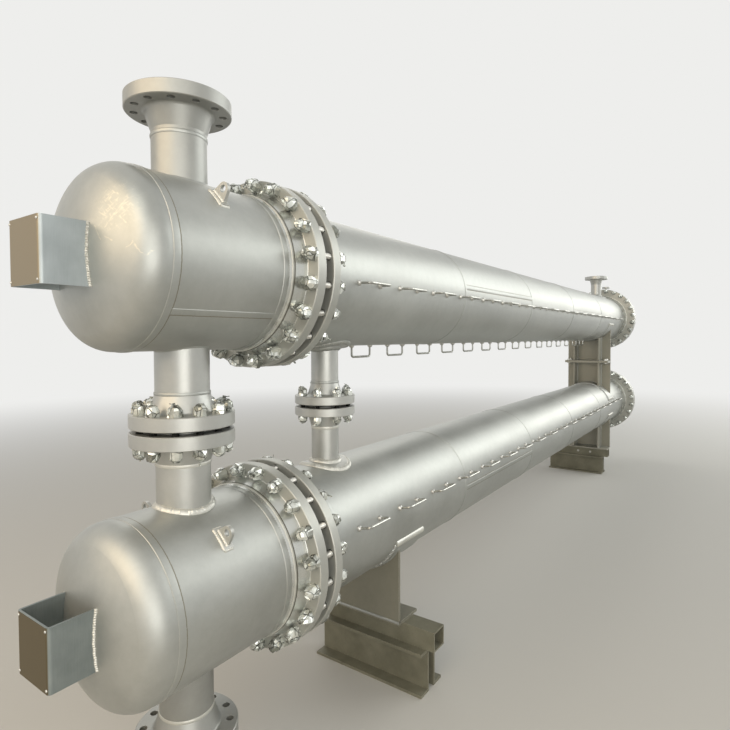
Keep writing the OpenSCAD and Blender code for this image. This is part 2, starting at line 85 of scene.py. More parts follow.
class Slot(Enum):
    """Material slots of the record."""

    SILVER_PAINT = "silver_paint"
    MACHINED_STEEL = "machined_steel"
    CLIP_STEEL = "clip_steel"
    SADDLE_PAINT = "saddle_paint"


# Colour and nodes


def linear(hex_colour: str) -> tuple[float, float, float, float]:
    """Turns an sRGB colour into the linear one that a shader takes.

    Args:
        hex_colour: Six digits after a hash sign.

    Returns:
        Red, green, blue and an alpha of 1.
    """
    parts = [int(hex_colour[i:i + 2], 16) / 255 for i in (1, 3, 5)]
    shades = [v / 12.92 if v <= 0.04045 else ((v + 0.055) / 1.055) ** 2.4 for v in parts]
    return (*shades, 1.0)


def add_node(
    tree: Tree, kind: str, inputs: dict[str | int, object] | None = None, **settings: object,
) -> bpy.types.bpy_prop_collection:
    """Adds a shader node with its settings and its links.

    Args:
        tree: The tree that takes the node.
        kind: Blender's name for the node, after its ShaderNode.
        inputs: A value, or an output socket to link, for each input named or numbered.
        **settings: The node's own properties.

    Returns:
        Its outputs, by name or number.
    """
    node = tree.nodes.new(f"ShaderNode{kind}")
    for name, value in settings.items():
        setattr(node, name, value)
    for name, value in (inputs or {}).items():
        if isinstance(value, Socket):
            tree.links.new(value, node.inputs[name])
        else:
            node.inputs[name].default_value = value
    return node.outputs


def sized(place: Socket, size_mm: float, **more: float) -> dict[str | int, object]:
    """Returns the inputs of a pattern that repeats about once in size_mm, with more of them."""
    return {"Vector": place, "Scale": 1 / (size_mm * MM), **more}


def fade(
    tree: Tree, value: Socket, span: Span, first: str | Socket, last: str | Socket, most: float = 1.0,
) -> Socket:
    """Changes one colour to another as a value crosses a span.

    Args:
        tree: The material's tree.
        value: What decides.
        span: Where the change starts and where it is complete.
        first: Colour at the start.
        last: Colour at the end.
        most: The largest share of the last colour.

    Returns:
        The mixed colour.
    """
    share = add_node(tree, "MapRange", {
        "Value": value, "From Min": span[0], "From Max": span[1], "To Max": most,
    })[0]
    ends = [linear(end) if isinstance(end, str) else end for end in (first, last)]
    return add_node(tree, "Mix", {0: share, 6: ends[0], 7: ends[1]}, data_type="RGBA")[2]


def tint_sharp_edges(
    tree: Tree, colour: Socket, size_mm: float, rubbed: str, start: float, most: float,
) -> Socket:
    """Pales the sharp edges: rubbed wear, and on the aluminium paints a painted highlight as well.

    Args:
        tree: The material's tree.
        colour: The colour away from edges.
        size_mm: How far the pale tint reaches from the edge.
        rubbed: The colour of the rubbed edge, which on the aluminium paints is also a painted highlight.
        start: How alike the flat and the rounded normal still are where the tint starts.
        most: The largest share of the edge's colour.

    Returns:
        The mixed colour.
    """
    rounded = add_node(tree, "Bevel", {"Radius": size_mm * MM}, samples=4)[0]
    flat = add_node(tree, "NewGeometry")["Normal"]
    agree = add_node(tree, "VectorMath", {0: rounded, 1: flat}, operation="DOT_PRODUCT")
    return fade(tree, agree["Value"], (start, 0.8), colour, rubbed, most)


def face_front(tree: Tree, colour: Socket, front: str) -> Socket:
    """Paints shade and reflections on the faces that look towards -X, by changing their colour.

    Args:
        tree: The material's tree.
        colour: The colour of the other faces.
        front: The colour of those faces, with their painted shade and reflections.

    Returns:
        The mixed colour.
    """
    normal = add_node(tree, "NewGeometry")["True Normal"]
    ahead = add_node(tree, "VectorMath", {0: normal, 1: -X_AXIS}, operation="DOT_PRODUCT")
    return fade(tree, ahead["Value"], (0.75, 0.9), colour, front)


# Finishes


@dataclass(frozen=True)
class Finish:
    """A material and how its surface was made, with its pattern in the frame's own metres."""

    name: str
    colour: str
    shade: str
    metallic: float
    roughness: float

    @cache
    def material(self) -> bpy.types.Material:
        """Makes the material at the first call.

        Returns:
            The same material each time.
        """
        material = bpy.data.materials.new(self.name)
        material.use_nodes = True
        tree = material.node_tree
        shader = tree.nodes["Principled BSDF"]
        shader.inputs["Metallic"].default_value = self.metallic
        shader.inputs["Roughness"].default_value = self.roughness
        place = add_node(tree, "TexCoord")["Object"]
        for name, value in self.look(tree, place).items():
            tree.links.new(value, shader.inputs[name])
        return material

    def look(self, tree: Tree, place: Socket) -> dict[str, Socket]:
        """Draws the surface; each kind of finish has its own.

        Args:
            tree: The material's tree.
            place: Coordinates in metres.

        Returns:
            What feeds the shader's inputs, by name.
        """
        raise NotImplementedError


@dataclass(frozen=True)
class Scuff:
    """A place where the paint is brushed thin in fine crossing strokes, with ragged scratches.

    Attributes:
        middle: Middle of the brushed patch, in metres.
        scratches: Start and end of each scratch, across and above the upper axis.
        reach: Radius of the patch.
        core: Share of that radius that is brushed most.
        width: Width of a scratch.
        ragged: How far a scratch strays to a side.
        strongest: The largest share of the bare colour in a stroke or scratch.
    """

    middle: Place
    scratches: tuple[tuple[float, float, float, float], ...]
    reach: float = 110.0
    core: float = 0.3
    width: float = 2.6
    ragged: float = 9.0
    ragged_step: float = 14.0
    stroke: float = 4.0
    stroke_turns: Span = (-0.8, 0.7)
    stroke_stretch: Place = (400.0, 6.0, 1.0)
    stroke_span: Span = (0.58, 0.66)
    strongest: float = 0.5
    worn_span: Span = (0.32, 0.6)
    worn_share: Span = (0.1, 0.75)
    bare: str = "#E6DEC8"

    def mark(self, tree: Tree, place: Socket, colour: Socket) -> Socket:
        """Draws the strokes and the scratches, worn away in places.

        Args:
            tree: The material's tree.
            place: Coordinates in metres.
            colour: The colour of sound paint.

        Returns:
            The marked colour.
        """
        low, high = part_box("upper_tubesheet")
        stray = self.ragged * MM
        wobble = add_node(tree, "TexNoise", sized(place, self.ragged_step, Detail=2.0))
        bent = add_node(tree, "VectorMath", {
            0: wobble["Color"], 1: (stray, stray, stray), 2: place,
        }, operation="MULTIPLY_ADD")[0]
        flat = add_node(tree, "VectorMath", {
            0: bent, 1: (0.0, 1.0, 1.0), 2: (0.0, -stray / 2, -(low.z + high.z) / 2 - stray / 2),
        }, operation="MULTIPLY_ADD")[0]
        marks = self.fine_strokes(tree, place)
        for start_y, start_z, end_y, end_z in self.scratches:
            start = Vector((0, start_y, start_z)) * MM
            way = Vector((0, end_y, end_z)) * MM - start
            offset = add_node(tree, "VectorMath", {0: flat, 1: start}, operation="SUBTRACT")[0]
            along = add_node(tree, "VectorMath", {
                0: offset, 1: way / way.length_squared,
            }, operation="DOT_PRODUCT")["Value"]
            held = add_node(tree, "Clamp", {"Value": along})[0]
            nearest = add_node(tree, "VectorMath", {0: way, "Scale": held}, operation="SCALE")[0]
            gap = add_node(tree, "VectorMath", {0: offset, 1: nearest}, operation="DISTANCE")
            mark = add_node(tree, "MapRange", {
                "Value": gap["Value"], "From Min": self.width * MM, "From Max": 0.0,
                "To Max": self.strongest,
            })[0]
            marks = add_node(tree, "Math", {0: marks, 1: mark}, operation="MAXIMUM")[0]
        worn = add_node(tree, "MapRange", {
            "Value": wobble[0], "From Min": self.worn_span[0], "From Max": self.worn_span[1],
            "To Min": self.worn_share[0], "To Max": self.worn_share[1],
        })[0]
        share = add_node(tree, "Math", {0: marks, 1: worn}, operation="MULTIPLY")[0]
        return fade(tree, share, (0.0, 1.0), colour, self.bare)

    def fine_strokes(self, tree: Tree, place: Socket) -> Socket:
        """Draws short strokes that cross each other in the patch.

        Args:
            tree: The material's tree.
            place: Coordinates in metres.

        Returns:
            The share of the bare colour.
        """
        away = add_node(tree, "VectorMath", {0: place, 1: self.middle}, operation="DISTANCE")
        patch = add_node(tree, "MapRange", {
            "Value": away["Value"], "From Min": self.reach * MM, "From Max": self.reach * self.core * MM,
            "To Max": self.strongest,
        })[0]
        strokes = []
        for turn in self.stroke_turns:
            turned = add_node(tree, "Mapping", {
                "Vector": place, "Rotation": (turn, 0.0, 0.0), "Scale": self.stroke_stretch,
            }, vector_type="TEXTURE")[0]
            lines = add_node(tree, "TexNoise", sized(turned, self.stroke, Detail=2.0, Distortion=0.4))
            strokes.append(add_node(tree, "MapRange", {
                "Value": lines[0], "From Min": self.stroke_span[0], "From Max": self.stroke_span[1],
            })[0])
        both = add_node(tree, "Math", {0: strokes[0], 1: strokes[1]}, operation="MAXIMUM")[0]
        return add_node(tree, "Math", {0: both, 1: patch}, operation="MULTIPLY")[0]


@dataclass(frozen=True)
class AluminiumPaint(Finish):
    """Aluminium paint, sprayed over rolled steel plate.

    The flakes give a soft grey shine. The rolled plate under them is a little wavy, which bends
    the long highlights, and overlapping spray passes leave cloudy bands. Sharp edges are paler,
    partly rubbed and partly a painted highlight, and the paint is brushed thin where there is
    a scuff.

    Attributes:
        coat_span: Where the mottle turns the coat from thick to thin.
        spray_span: Where the spray bands turn the coat from glossy to dull.
        inner_radius: Within this distance of an exchanger's axis the paint is the inner one, or 0.
        inner: The finish there.
        front: Colour of the faces that look towards -X, with their shade painted in, or nothing.
        scuff: The scuffed place, or nothing.
    """

    roughness_spread: float = 0.06
    spray_band: float = 420.0
    spray_span: Span = (0.3, 0.7)
    dust: float = 38.0
    dust_share: float = 0.45
    coat_span: Span = (0.5, 0.95)
    plate_wave: float = 300.0
    plate_wave_depth: float = 1.1
    grain: float = 2.6
    grain_depth: float = 0.07
    edge: float = 2.4
    edge_shine: float = 0.0
    edge_colour: str = "#EDEBE2"
    inner_radius: float = 0.0
    inner: "AluminiumPaint | None" = None
    front: str = ""
    scuff: Scuff | None = None

    def look(self, tree: Tree, place: Socket) -> dict[str, Socket]:
        """Draws the cloudy colour, the gloss, and the waves and grain of the surface.

        Args:
            tree: The material's tree.
            place: Coordinates in metres.

        Returns:
            What feeds the shader's inputs, by name.
        """
        clouds = sized(place, self.spray_band, Detail=4.0, Roughness=0.6)
        cloud = add_node(tree, "TexNoise", clouds)[0]
        dust = add_node(tree, "TexNoise", sized(place, self.dust, Detail=6.0, Roughness=0.7))[0]
        mottle = add_node(tree, "Math", {
            0: dust, 1: self.dust_share, 2: cloud,
        }, operation="MULTIPLY_ADD")[0]
        colour = self.tone(tree, mottle)
        look = {"Roughness": self.gloss(tree, cloud)}
        if self.inner is not None:
            inside = self.near_axis(tree, place)
            colour = add_node(tree, "Mix", {
                0: inside, 6: colour, 7: self.inner.tone(tree, mottle),
            }, data_type="RGBA")[2]
            for name, outer, inner in (
                ("Roughness", look["Roughness"], self.inner.gloss(tree, cloud)),
                ("Metallic", self.metallic, self.inner.metallic),
            ):
                look[name] = add_node(tree, "Mix", {0: inside, 2: outer, 3: inner})[0]
        # Painted shade on the faces towards -X
        if self.front:
            colour = face_front(tree, colour, self.front)
        # Paler sharp edges, partly rubbed and partly a painted highlight
        if self.edge_shine:
            colour = tint_sharp_edges(tree, colour, self.edge, self.edge_colour, 0.97, self.edge_shine)
        if self.scuff is not None:
            colour = self.scuff.mark(tree, place, colour)
        look["Base Color"] = colour
        for size, depth, detail in (
            (self.plate_wave, self.plate_wave_depth, 1.0), (self.grain, self.grain_depth, 2.0),
        ):
            height = add_node(tree, "TexNoise", sized(place, size, Detail=detail))[0]
            relief = {"Height": height, "Distance": depth * MM}
            if "Normal" in look:
                relief["Normal"] = look["Normal"]
            look["Normal"] = add_node(tree, "Bump", relief)[0]
        return look

    def tone(self, tree: Tree, mottle: Socket) -> Socket:
        """Returns the paint's colour, from thick to thin coats."""
        return fade(tree, mottle, self.coat_span, self.shade, self.colour)

    def gloss(self, tree: Tree, cloud: Socket) -> Socket:
        """Varies the roughness with the spray passes.

        Args:
            tree: The material's tree.
            cloud: The pattern of the passes.

        Returns:
            The paint's roughness.
        """
        return add_node(tree, "MapRange", {
            "Value": cloud, "From Min": self.spray_span[0], "From Max": self.spray_span[1],
            "To Min": self.roughness - self.roughness_spread,
            "To Max": self.roughness + self.roughness_spread,
        })[0]

    def near_axis(self, tree: Tree, place: Socket) -> Socket:
        """Finds where the inner finish goes.

        Args:
            tree: The material's tree.
            place: Coordinates in metres.

        Returns:
            1 within the inner radius of either exchanger's axis, and 0 beyond it.
        """
        reach = []
        for level in Level:
            low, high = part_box(f"{level.value}_tubesheet")
            aside = add_node(tree, "VectorMath", {
                0: place, 1: (0.0, 1.0, 1.0), 2: (0.0, 0.0, -(low.z + high.z) / 2),
            }, operation="MULTIPLY_ADD")[0]
            reach.append(add_node(tree, "VectorMath", {0: aside}, operation="LENGTH")["Value"])
        nearest = add_node(tree, "Math", {0: reach[0], 1: reach[1]}, operation="MINIMUM")[0]
        return add_node(tree, "Math", {
            0: nearest, 1: self.inner_radius * MM,
        }, operation="LESS_THAN")[0]


@dataclass(frozen=True)
class BentStainless(Finish):
    """Stainless plate with a matt mill finish, bent cold.

    It looks cooler and smoother than the paint, with a faint grain along the rolling direction.
    Its faces towards -X take a warmer, darker front colour, their reflection and shade painted in.
    """

    grain: float = 3.0
    grain_depth: float = 0.06
    grain_share: float = 0.35
    stretch: float = 0.04
    smear: float = 90.0
    smear_span: Span = (0.45, 0.9)
    # Painted reflection and shade on the faces towards -X
    front: str = "#8A806C"

    def look(self, tree: Tree, place: Socket) -> dict[str, Socket]:
        """Draws the smeared colour, the drawn grain and the painted reflection and shade on the front faces.

        Args:
            tree: The material's tree.
            place: Coordinates in metres.

        Returns:
            What feeds the shader's inputs, by name.
        """
        drawn = add_node(tree, "Mapping", {
            "Vector": place, "Scale": (1.0, 1.0, self.stretch),
        })[0]
        grain = add_node(tree, "TexNoise", sized(drawn, self.grain, Detail=3.0))[0]
        smear = add_node(tree, "TexNoise", sized(place, self.smear, Detail=5.0))[0]
        mottle = add_node(tree, "Math", {
            0: grain, 1: self.grain_share, 2: smear,
        }, operation="MULTIPLY_ADD")[0]
        colour = fade(tree, mottle, self.smear_span, self.shade, self.colour)
        relief = {"Height": grain, "Distance": self.grain_depth * MM}
        return {
            "Base Color": face_front(tree, colour, self.front),
            "Normal": add_node(tree, "Bump", relief)[0],
        }


@dataclass(frozen=True)
class TurnedSteel(Finish):
    """Carbon steel, turned on a lathe and oiled.

    The oil makes it dark and dull, and the tool leaves fine rings round the X axis.

    Attributes:
        ring: Distance between two rings.
        wave_repeat: How far apart Blender's bands are at a scale of 1.
    """

    ring: float = 4.0
    ring_depth: float = 0.12
    smear: float = 60.0
    wave_repeat: float = FULL_TURN / 20

    def look(self, tree: Tree, place: Socket) -> dict[str, Socket]:
        """Draws the oily smears and the turned rings.

        Args:
            tree: The material's tree.
            place: Coordinates in metres.

        Returns:
            What feeds the shader's inputs, by name.
        """
        bands = sized(place, self.ring / self.wave_repeat, Distortion=0.6, Detail=1.0)
        rings = add_node(tree, "TexWave", bands, wave_type="BANDS", bands_direction="X")["Fac"]
        smear = add_node(tree, "TexNoise", sized(place, self.smear, Detail=5.0))[0]
        relief = {"Height": rings, "Distance": self.ring_depth * MM}
        return {
            "Base Color": fade(tree, smear, (0.0, 1.0), self.shade, self.colour),
            "Normal": add_node(tree, "Bump", relief)[0],
        }


@dataclass(frozen=True)
class BrightSteel(Finish):
    """Zinc plated or drawn steel, such as threaded rod and bent clips.

    It is the brightest metal here, with small dull spots.
    """

    spot: float = 14.0
    spot_span: Span = (0.38, 0.62)
    duller: float = 0.1
    glossier: float = 0.05

    def look(self, tree: Tree, place: Socket) -> dict[str, Socket]:
        """Draws the spots, dull where they are dark.

        Args:
            tree: The material's tree.
            place: Coordinates in metres.

        Returns:
            What feeds the shader's inputs, by name.
        """
        spots = add_node(tree, "TexNoise", sized(place, self.spot, Detail=5.0, Roughness=0.65))[0]
        gloss = add_node(tree, "MapRange", {
            "Value": spots, "To Min": self.roughness + self.duller, "To Max": self.roughness - self.glossier,
        })[0]
        return {
            "Base Color": fade(tree, spots, self.spot_span, self.shade, self.colour), "Roughness": gloss,
        }


@dataclass(frozen=True)
class StretchFilm(Finish):
    """Clear packing film, pulled tight over oiled nuts and stud ends before the paint is sprayed.

    Where it clings, the dark steel shows through, and where it bunches up it turns white and
    glossy, so each nut is a patchwork of light and dark facets. The facets' tones are laid at
    random, partly for that and partly as painted reflections and glare, and the dark lines along
    their edges are painted shade in the creases.

    Attributes:
        fold: Size of a facet.
        facet_tilt: How far a facet leans away from the surface.
        edge_span: Distance from a facet's edge over which its painted crease shade fades, as a share of it.
    """

    fold: float = 42.0
    facet_tilt: float = 0.8
    crease: float = 19.0
    crease_depth: float = 1.4
    crease_share: float = 0.8
    crease_shade_colour: str = "#3E403B"
    white_span: Span = (0.42, 0.8)
    edge_span: Span = (0.005, 0.05)

    def look(self, tree: Tree, place: Socket) -> dict[str, Socket]:
        """Draws the facets, with painted reflections on them and painted shade along their edges.

        Args:
            tree: The material's tree.
            place: Coordinates in metres.

        Returns:
            What feeds the shader's inputs, by name.
        """
        cells = sized(place, self.fold)
        folds = add_node(tree, "TexVoronoi", cells, feature="F1")["Color"]
        edge = add_node(tree, "TexVoronoi", cells, feature="DISTANCE_TO_EDGE")[0]
        tone = add_node(tree, "SeparateColor", {"Color": folds})["Red"]
        creases = add_node(tree, "TexNoise", sized(place, self.crease, Detail=2.0, Distortion=1.0))[0]
        mixed = add_node(tree, "Math", {
            0: creases, 1: self.crease_share, 2: tone,
        }, operation="MULTIPLY_ADD")[0]
        # Light and dark facets, partly painted reflections and glare
        colour = fade(tree, mixed, self.white_span, self.shade, self.colour)
        tilt = self.facet_tilt
        lean = add_node(tree, "VectorMath", {
            0: folds, 1: (tilt, tilt, tilt), 2: (-tilt / 2, -tilt / 2, -tilt / 2),
        }, operation="MULTIPLY_ADD")[0]
        normal = add_node(tree, "NewGeometry")["Normal"]
        turned = add_node(tree, "VectorMath", {0: normal, 1: lean}, operation="ADD")[0]
        facet = add_node(tree, "VectorMath", {0: turned}, operation="NORMALIZE")[0]
        relief = {"Height": creases, "Distance": self.crease_depth * MM, "Normal": facet}
        return {
            # Painted shade along the facets' edges
            "Base Color": fade(tree, edge, self.edge_span, self.crease_shade_colour, colour),
            "Normal": add_node(tree, "Bump", relief)[0],
        }


@dataclass(frozen=True)
class WornPrimer(Finish):
    """Primer brushed on rolled steel, handled, dusty and rubbed through in places.

    It is matt, with pale dust in broad clouds and brown rust specks.
    """

    rust: str = "#5B4634"
    rubbed: str = "#A8A393"
    cloud: float = 160.0
    cloud_span: Span = (0.35, 0.68)
    speck: float = 9.0
    speck_depth: float = 0.35
    rust_span: Span = (0.64, 0.72)
    edge: float = 3.0
    edge_wear: float = 0.7

    def look(self, tree: Tree, place: Socket) -> dict[str, Socket]:
        """Draws the dust, the rust and the rubbed edges.

        Args:
            tree: The material's tree.
            place: Coordinates in metres.

        Returns:
            What feeds the shader's inputs, by name.
        """
        cloud = add_node(tree, "TexNoise", sized(place, self.cloud, Detail=7.0, Roughness=0.62))[0]
        speck = add_node(tree, "TexNoise", sized(place, self.speck, Detail=4.0, Roughness=0.7))[0]
        painted = fade(tree, cloud, self.cloud_span, self.shade, self.colour)
        rusty = fade(tree, speck, self.rust_span, painted, self.rust)
        relief = {"Height": speck, "Distance": self.speck_depth * MM}
        return {
            "Base Color": tint_sharp_edges(tree, rusty, self.edge, self.rubbed, 0.98, self.edge_wear),
            "Normal": add_node(tree, "Bump", relief)[0],
        }


# Satin paint on rolled plate, with a soft grey sheen in cloudy bands
SHELL_PAINT = AluminiumPaint("aluminium_paint", "#B4B6B2", "#A3A5A1", 0.72, 0.44)
# A thin coat on a turned cone, whose highlights are tighter and brighter
HUB_PAINT = AluminiumPaint("hub_paint", "#D2D4D0", "#C4C6C2", 0.8, 0.27)
# A thick coat over beads, which look pale and soft
WELD_PAINT = AluminiumPaint("painted_weld", "#D8D8D1", "#C6C6BF", 0.5, 0.42)
# Painted shade at the toe of a weld, a thin dull line that is darker and warmer than the paint
TOE_SHADE = AluminiumPaint("painted_toe_shade", "#8F8C7F", "#7C796D", 0.4, 0.5)
# Painted shade in a groove, the darkest line on the paint
GROOVE_SHADE = AluminiumPaint("painted_groove_shade", "#67655A", "#55534A", 0.3, 0.55)
# Paint brushed thin, with pale strokes and scratches across its sheen
SCUFFED_PAINT = AluminiumPaint(
    "scuffed_paint", "#B4B6B2", "#A3A5A1", 0.72, 0.42,
    scuff=Scuff((-4.405, -0.205, 2.455), (
        (-185, 70, -250, 165), (-150, 125, -190, 105), (-185, 40, -215, 25), (-140, 80, -170, 30),
        (-185, 130, -215, 160), (-200, 100, -245, 130), (-170, 165, -195, 190), (-185, 195, -210, 180),
        (-285, 20, -305, -15), (-305, -15, -320, -25), (-320, -25, -330, -10), (-265, 0, -285, 15),
        (-235, 105, -260, 80),
    )),
)
# Paint on turned rims, dull on the faces, with pale edges that are partly rubbed and partly a painted
# highlight
FLANGE_PAINT = AluminiumPaint(
    "flange_paint", "#B9BAB4", "#AAABA5", 0.55, 0.46, edge_shine=0.8, inner_radius=374.5, inner=HUB_PAINT,
)
# Paint on forged necks, even and a little brighter than the shell, with pale edges that are partly
# rubbed and partly a painted highlight
NOZZLE_PAINT = AluminiumPaint("nozzle_paint", "#BBBCB8", "#ADAEAA", 0.65, 0.4, edge_shine=0.6)
# A darker, rougher copy of the nozzle paint for the open nozzles, with their shade painted in,
# and pale edges that are partly rubbed and partly a painted highlight
SHADED_NOZZLE_PAINT = AluminiumPaint("shaded_nozzle_paint", "#A8A9A5", "#9A9B97", 0.6, 0.44, edge_shine=0.6)
# A darker, warmer copy of the saddle paint for the near saddle, with its shade and the reflection
# of brown surroundings painted in; almost matt, with pale edges that are partly rubbed and partly
# a painted highlight
SHADED_SADDLE_PAINT = AluminiumPaint(
    "shaded_saddle_paint", "#8B897C", "#7F7D70", 0.3, 0.5, edge_shine=0.7, inner_radius=353.5, inner=SHELL_PAINT,
)
# Pale warm paint on cut plate, with painted shade on the faces in front,
# and pale edges that are partly rubbed and partly a painted highlight
SADDLE_PAINT = AluminiumPaint(
    "saddle_paint", "#B3B2A7", "#A4A39A", 0.45, 0.46, edge_shine=0.7, inner_radius=353.5,
    inner=SHELL_PAINT, front="#98968A",
)
# Stainless plate, cool and smooth beside the paint, with a warm painted reflection on its front faces
BRACKET_PLATE = BentStainless("mill_stainless", "#B2BABC", "#A1A9AB", 0.55, 0.45)
# A darker, browner copy of the same plate for the lower bracket, with its shade and the floor's reflection
# painted in
SHADED_PLATE = BentStainless("shaded_stainless", "#8E9695", "#7C8483", 0.5, 0.48, front="#5E553F")
# Oiled turned steel, a dark line between two bright flanges
TUBESHEET_STEEL = TurnedSteel("turned_steel", "#6A6A64", "#4A4A46", 0.6, 0.46)
# Oil and graphite on the gaskets, nearly black with a faint shine; on the link studs, painted shade in the
# narrow gap
GRAPHITE_AND_GAP_SHADE = TurnedSteel("graphite_and_gap_shade", "#262624", "#161615", 0.2, 0.6)
# Plated steel, pale with dull spots
BRIGHT_ROD = BrightSteel("bright_rod", "#D5D5D0", "#B5B5B0", 0.75, 0.3)
# Drawn rod, with sharp glints along its length
CLIP_ROD = BrightSteel("clip_rod", "#BDBDB7", "#9C9C96", 0.85, 0.26)
# Tight film, a glossy patchwork of white folds and dark steel, partly painted reflection and glare,
# with painted shade along its creases
NUT_FILM = StretchFilm("stretch_film", "#E2E5DF", "#858880", 0.62, 0.22)
# Handled primer, matt and dusty with brown specks and pale edges
STAND_PRIMER = WornPrimer("stand_primer", "#838170", "#6D6B5B", 0.15, 0.62)

# The first word that is in a CAD node's name decides its finish
NODE_FINISHES = (
    ("stand", STAND_PRIMER), ("near_saddle", SHADED_SADDLE_PAINT), ("saddle", SADDLE_PAINT),
    ("gasket", GRAPHITE_AND_GAP_SHADE), ("tubesheet", TUBESHEET_STEEL),
    ("upper_nameplate_bracket", BRACKET_PLATE), ("bracket", SHADED_PLATE), ("clips", BRIGHT_ROD),
    ("flange", FLANGE_PAINT), ("lugs", NOZZLE_PAINT), ("channel_top_nozzle", SHADED_NOZZLE_PAINT),
    ("channel_bottom_nozzle", SHADED_NOZZLE_PAINT), ("nozzle", NOZZLE_PAINT),
    ("upper_channel_head", SCUFFED_PAINT), ("", SHELL_PAINT),
)


# Shapes


def turns(count: int) -> list[float]:
    """Returns the angles of equal steps round a full turn."""
    return [FULL_TURN * k / count for k in range(count)]


def around(angle: float, axis: Vector, start: Vector) -> Vector:
    """Turns the unit vector start by angle about the unit vector axis."""
    return start * math.cos(angle) + axis.cross(start) * math.sin(angle)


@dataclass
class Shape:
    """Corners and faces of one piece, gathered before its mesh is made."""

    corners: list[Vector] = field(default_factory=list)
    faces: list[tuple[int, ...]] = field(default_factory=list)

    def rings(self, rings: list[list[Vector]], looped: bool = False) -> None:
        """Joins rings of equally many corners with quads, and closes both ends unless looped.

        Args:
            rings: The rings, in order.
            looped: Whether the last ring joins the first.
        """
        start = len(self.corners)
        count = len(rings[0])
        for ring in rings:
            self.corners.extend(ring)
        last = start + (len(rings) - 1) * count
        lows = [start + i * count for i in range(len(rings) - 1)]
        pairs = [(low, low + count) for low in lows] + ([(last, start)] if looped else [])
        for low, high in pairs:
            for k in range(count):
                after = (k + 1) % count
                self.faces.append((low + k, low + after, high + after, high + k))
        if not looped:
            self.faces.append(tuple(start + k for k in reversed(range(count))))
            self.faces.append(tuple(last + k for k in range(count)))

    def piece(
        self, name: str, finish: Finish, slot: Slot = Slot.SILVER_PAINT, crease_deg: float = 40.0,
    ) -> bpy.types.Object:
        """Makes the piece, with its finish, and lets it ride on the stack.

        Args:
            name: The piece's name.
            finish: Its finish.
            slot: The record's slot for that finish; not used.
            crease_deg: Edges sharper than this stay sharp.

        Returns:
            The new object.
        """
        mesh = bpy.data.meshes.new(name)
        mesh.from_pydata([tuple(c) for c in self.corners], [], self.faces)
        mesh.validate()
        mesh.shade_smooth()
        mesh.set_sharp_from_angle(angle=math.radians(crease_deg))
        mesh.materials.append(finish.material())
        piece = bpy.data.objects.new(name, mesh)
        bpy.context.scene.collection.objects.link(piece)
        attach(piece, ROOT_BODY)
        log.info("%s: %d faces", name, len(self.faces))
        return piece


# Welds


@dataclass(frozen=True)
class Bearing:
    """A place on a path, with the way up from the metal and the way across the path."""

    point: Vector
    up: Vector
    across: Vector


@dataclass(frozen=True)
class Weld:
    """A weld bead laid along a path, with the ripples of its pool.

    Attributes:
        width: Width across the bead.
        height: Height of its crown.
        ripple: Distance between two ripples.
        depth: How deep the ripples are, as a share of the height.
        uneven: How much the ripples differ, as a share of their depth.
        wander: How far a hand lets the bead stray.
        root: How deep its edges are sunk, so that it closes with the metal.
        flatness: 1 for a round crown, and less for a flat one with steep edges.
        sides: Corners across the bead.
    """

    width: float
    height: float
    ripple: float = 11.0
    depth: float = 0.22
    wander: float = 0.0
    root: float = 2.0
    flatness: float = 1.0
    uneven: float = 0.3
    sides: int = 7

    def lay(
        self, shape: Shape, length: float, bearing: Callable[[float], Bearing], looped: bool, seed: int,
    ) -> None:
        """Adds the bead along a path, in steps of half a ripple.

        Args:
            shape: The shape that takes the bead.
            length: Length of the path, in metres.
            bearing: Gives the bearing at a share of the path.
            looped: Whether the bead closes on itself.
            seed: Seed of the bead's unevenness.
        """
        hand = random.Random(seed)
        count = max(4, 2 * round(length / (self.ripple * MM)))
        rings = []
        for i in range(count if looped else count + 1):
            place = bearing(i / count)
            rise = (0.5 if i % 2 else -0.5) + hand.uniform(-self.uneven, self.uneven)
            swell = 1 + self.depth * rise
            stray = hand.uniform(-self.wander, self.wander) * MM
            ring = []
            for k in range(self.sides):
                angle = math.pi * k / (self.sides - 1)
                out = place.across * (math.cos(angle) * self.width * MM / 2 + stray)
                crown = math.sin(angle) ** self.flatness * self.height * swell
                ring.append(place.point + out + place.up * ((crown - self.root) * MM))
            rings.append(ring)
        shape.rings(rings, looped)


CHANNEL_SEAM = Weld(width=26.0, height=3.2, root=0.8, flatness=0.35)
HEAD_SEAM = Weld(width=30.0, height=3.2, root=0.8, flatness=0.22)
HUB_SEAM = Weld(width=45.0, height=4.6, root=1.0, flatness=0.5)
SHELL_SEAM = Weld(width=29.0, height=4.2, ripple=12.0, root=1.0, flatness=0.5)
TOE_LINE = Weld(width=5.0, height=0.8, ripple=15.0, depth=0.5, wander=0.5, root=0.4)
HUB_TOE = Weld(width=10.0, height=4.0, ripple=16.0, depth=0.06, root=1.6, flatness=0.6)
GROOVE_LINE = Weld(width=9.0, height=1.8, ripple=16.0, depth=0.06, root=1.5)
NECK_SEAM = Weld(width=17.0, height=4.0, ripple=8.0, root=1.0, flatness=0.7)
FOOT_FILLET = Weld(width=42.0, height=18.0, depth=0.14, wander=1.6, root=3.0)
SMOOTH_FILLET = Weld(width=24.0, height=7.0, ripple=14.0, depth=0.06, root=3.0)
PAD_FILLET = Weld(width=36.0, height=14.0, wander=1.2, root=3.0)
PLATE_FILLET = Weld(width=17.0, height=8.0, ripple=9.0, wander=0.7, root=3.0)
BRACKET_FILLET = Weld(width=17.0, height=7.0, ripple=8.0, depth=0.45, wander=1.6, root=2.0)
WRAP_FILLET = Weld(width=30.0, height=13.0, wander=0.8, root=3.0)
END_FILLET = Weld(width=40.0, height=18.0, wander=0.8, root=3.0)


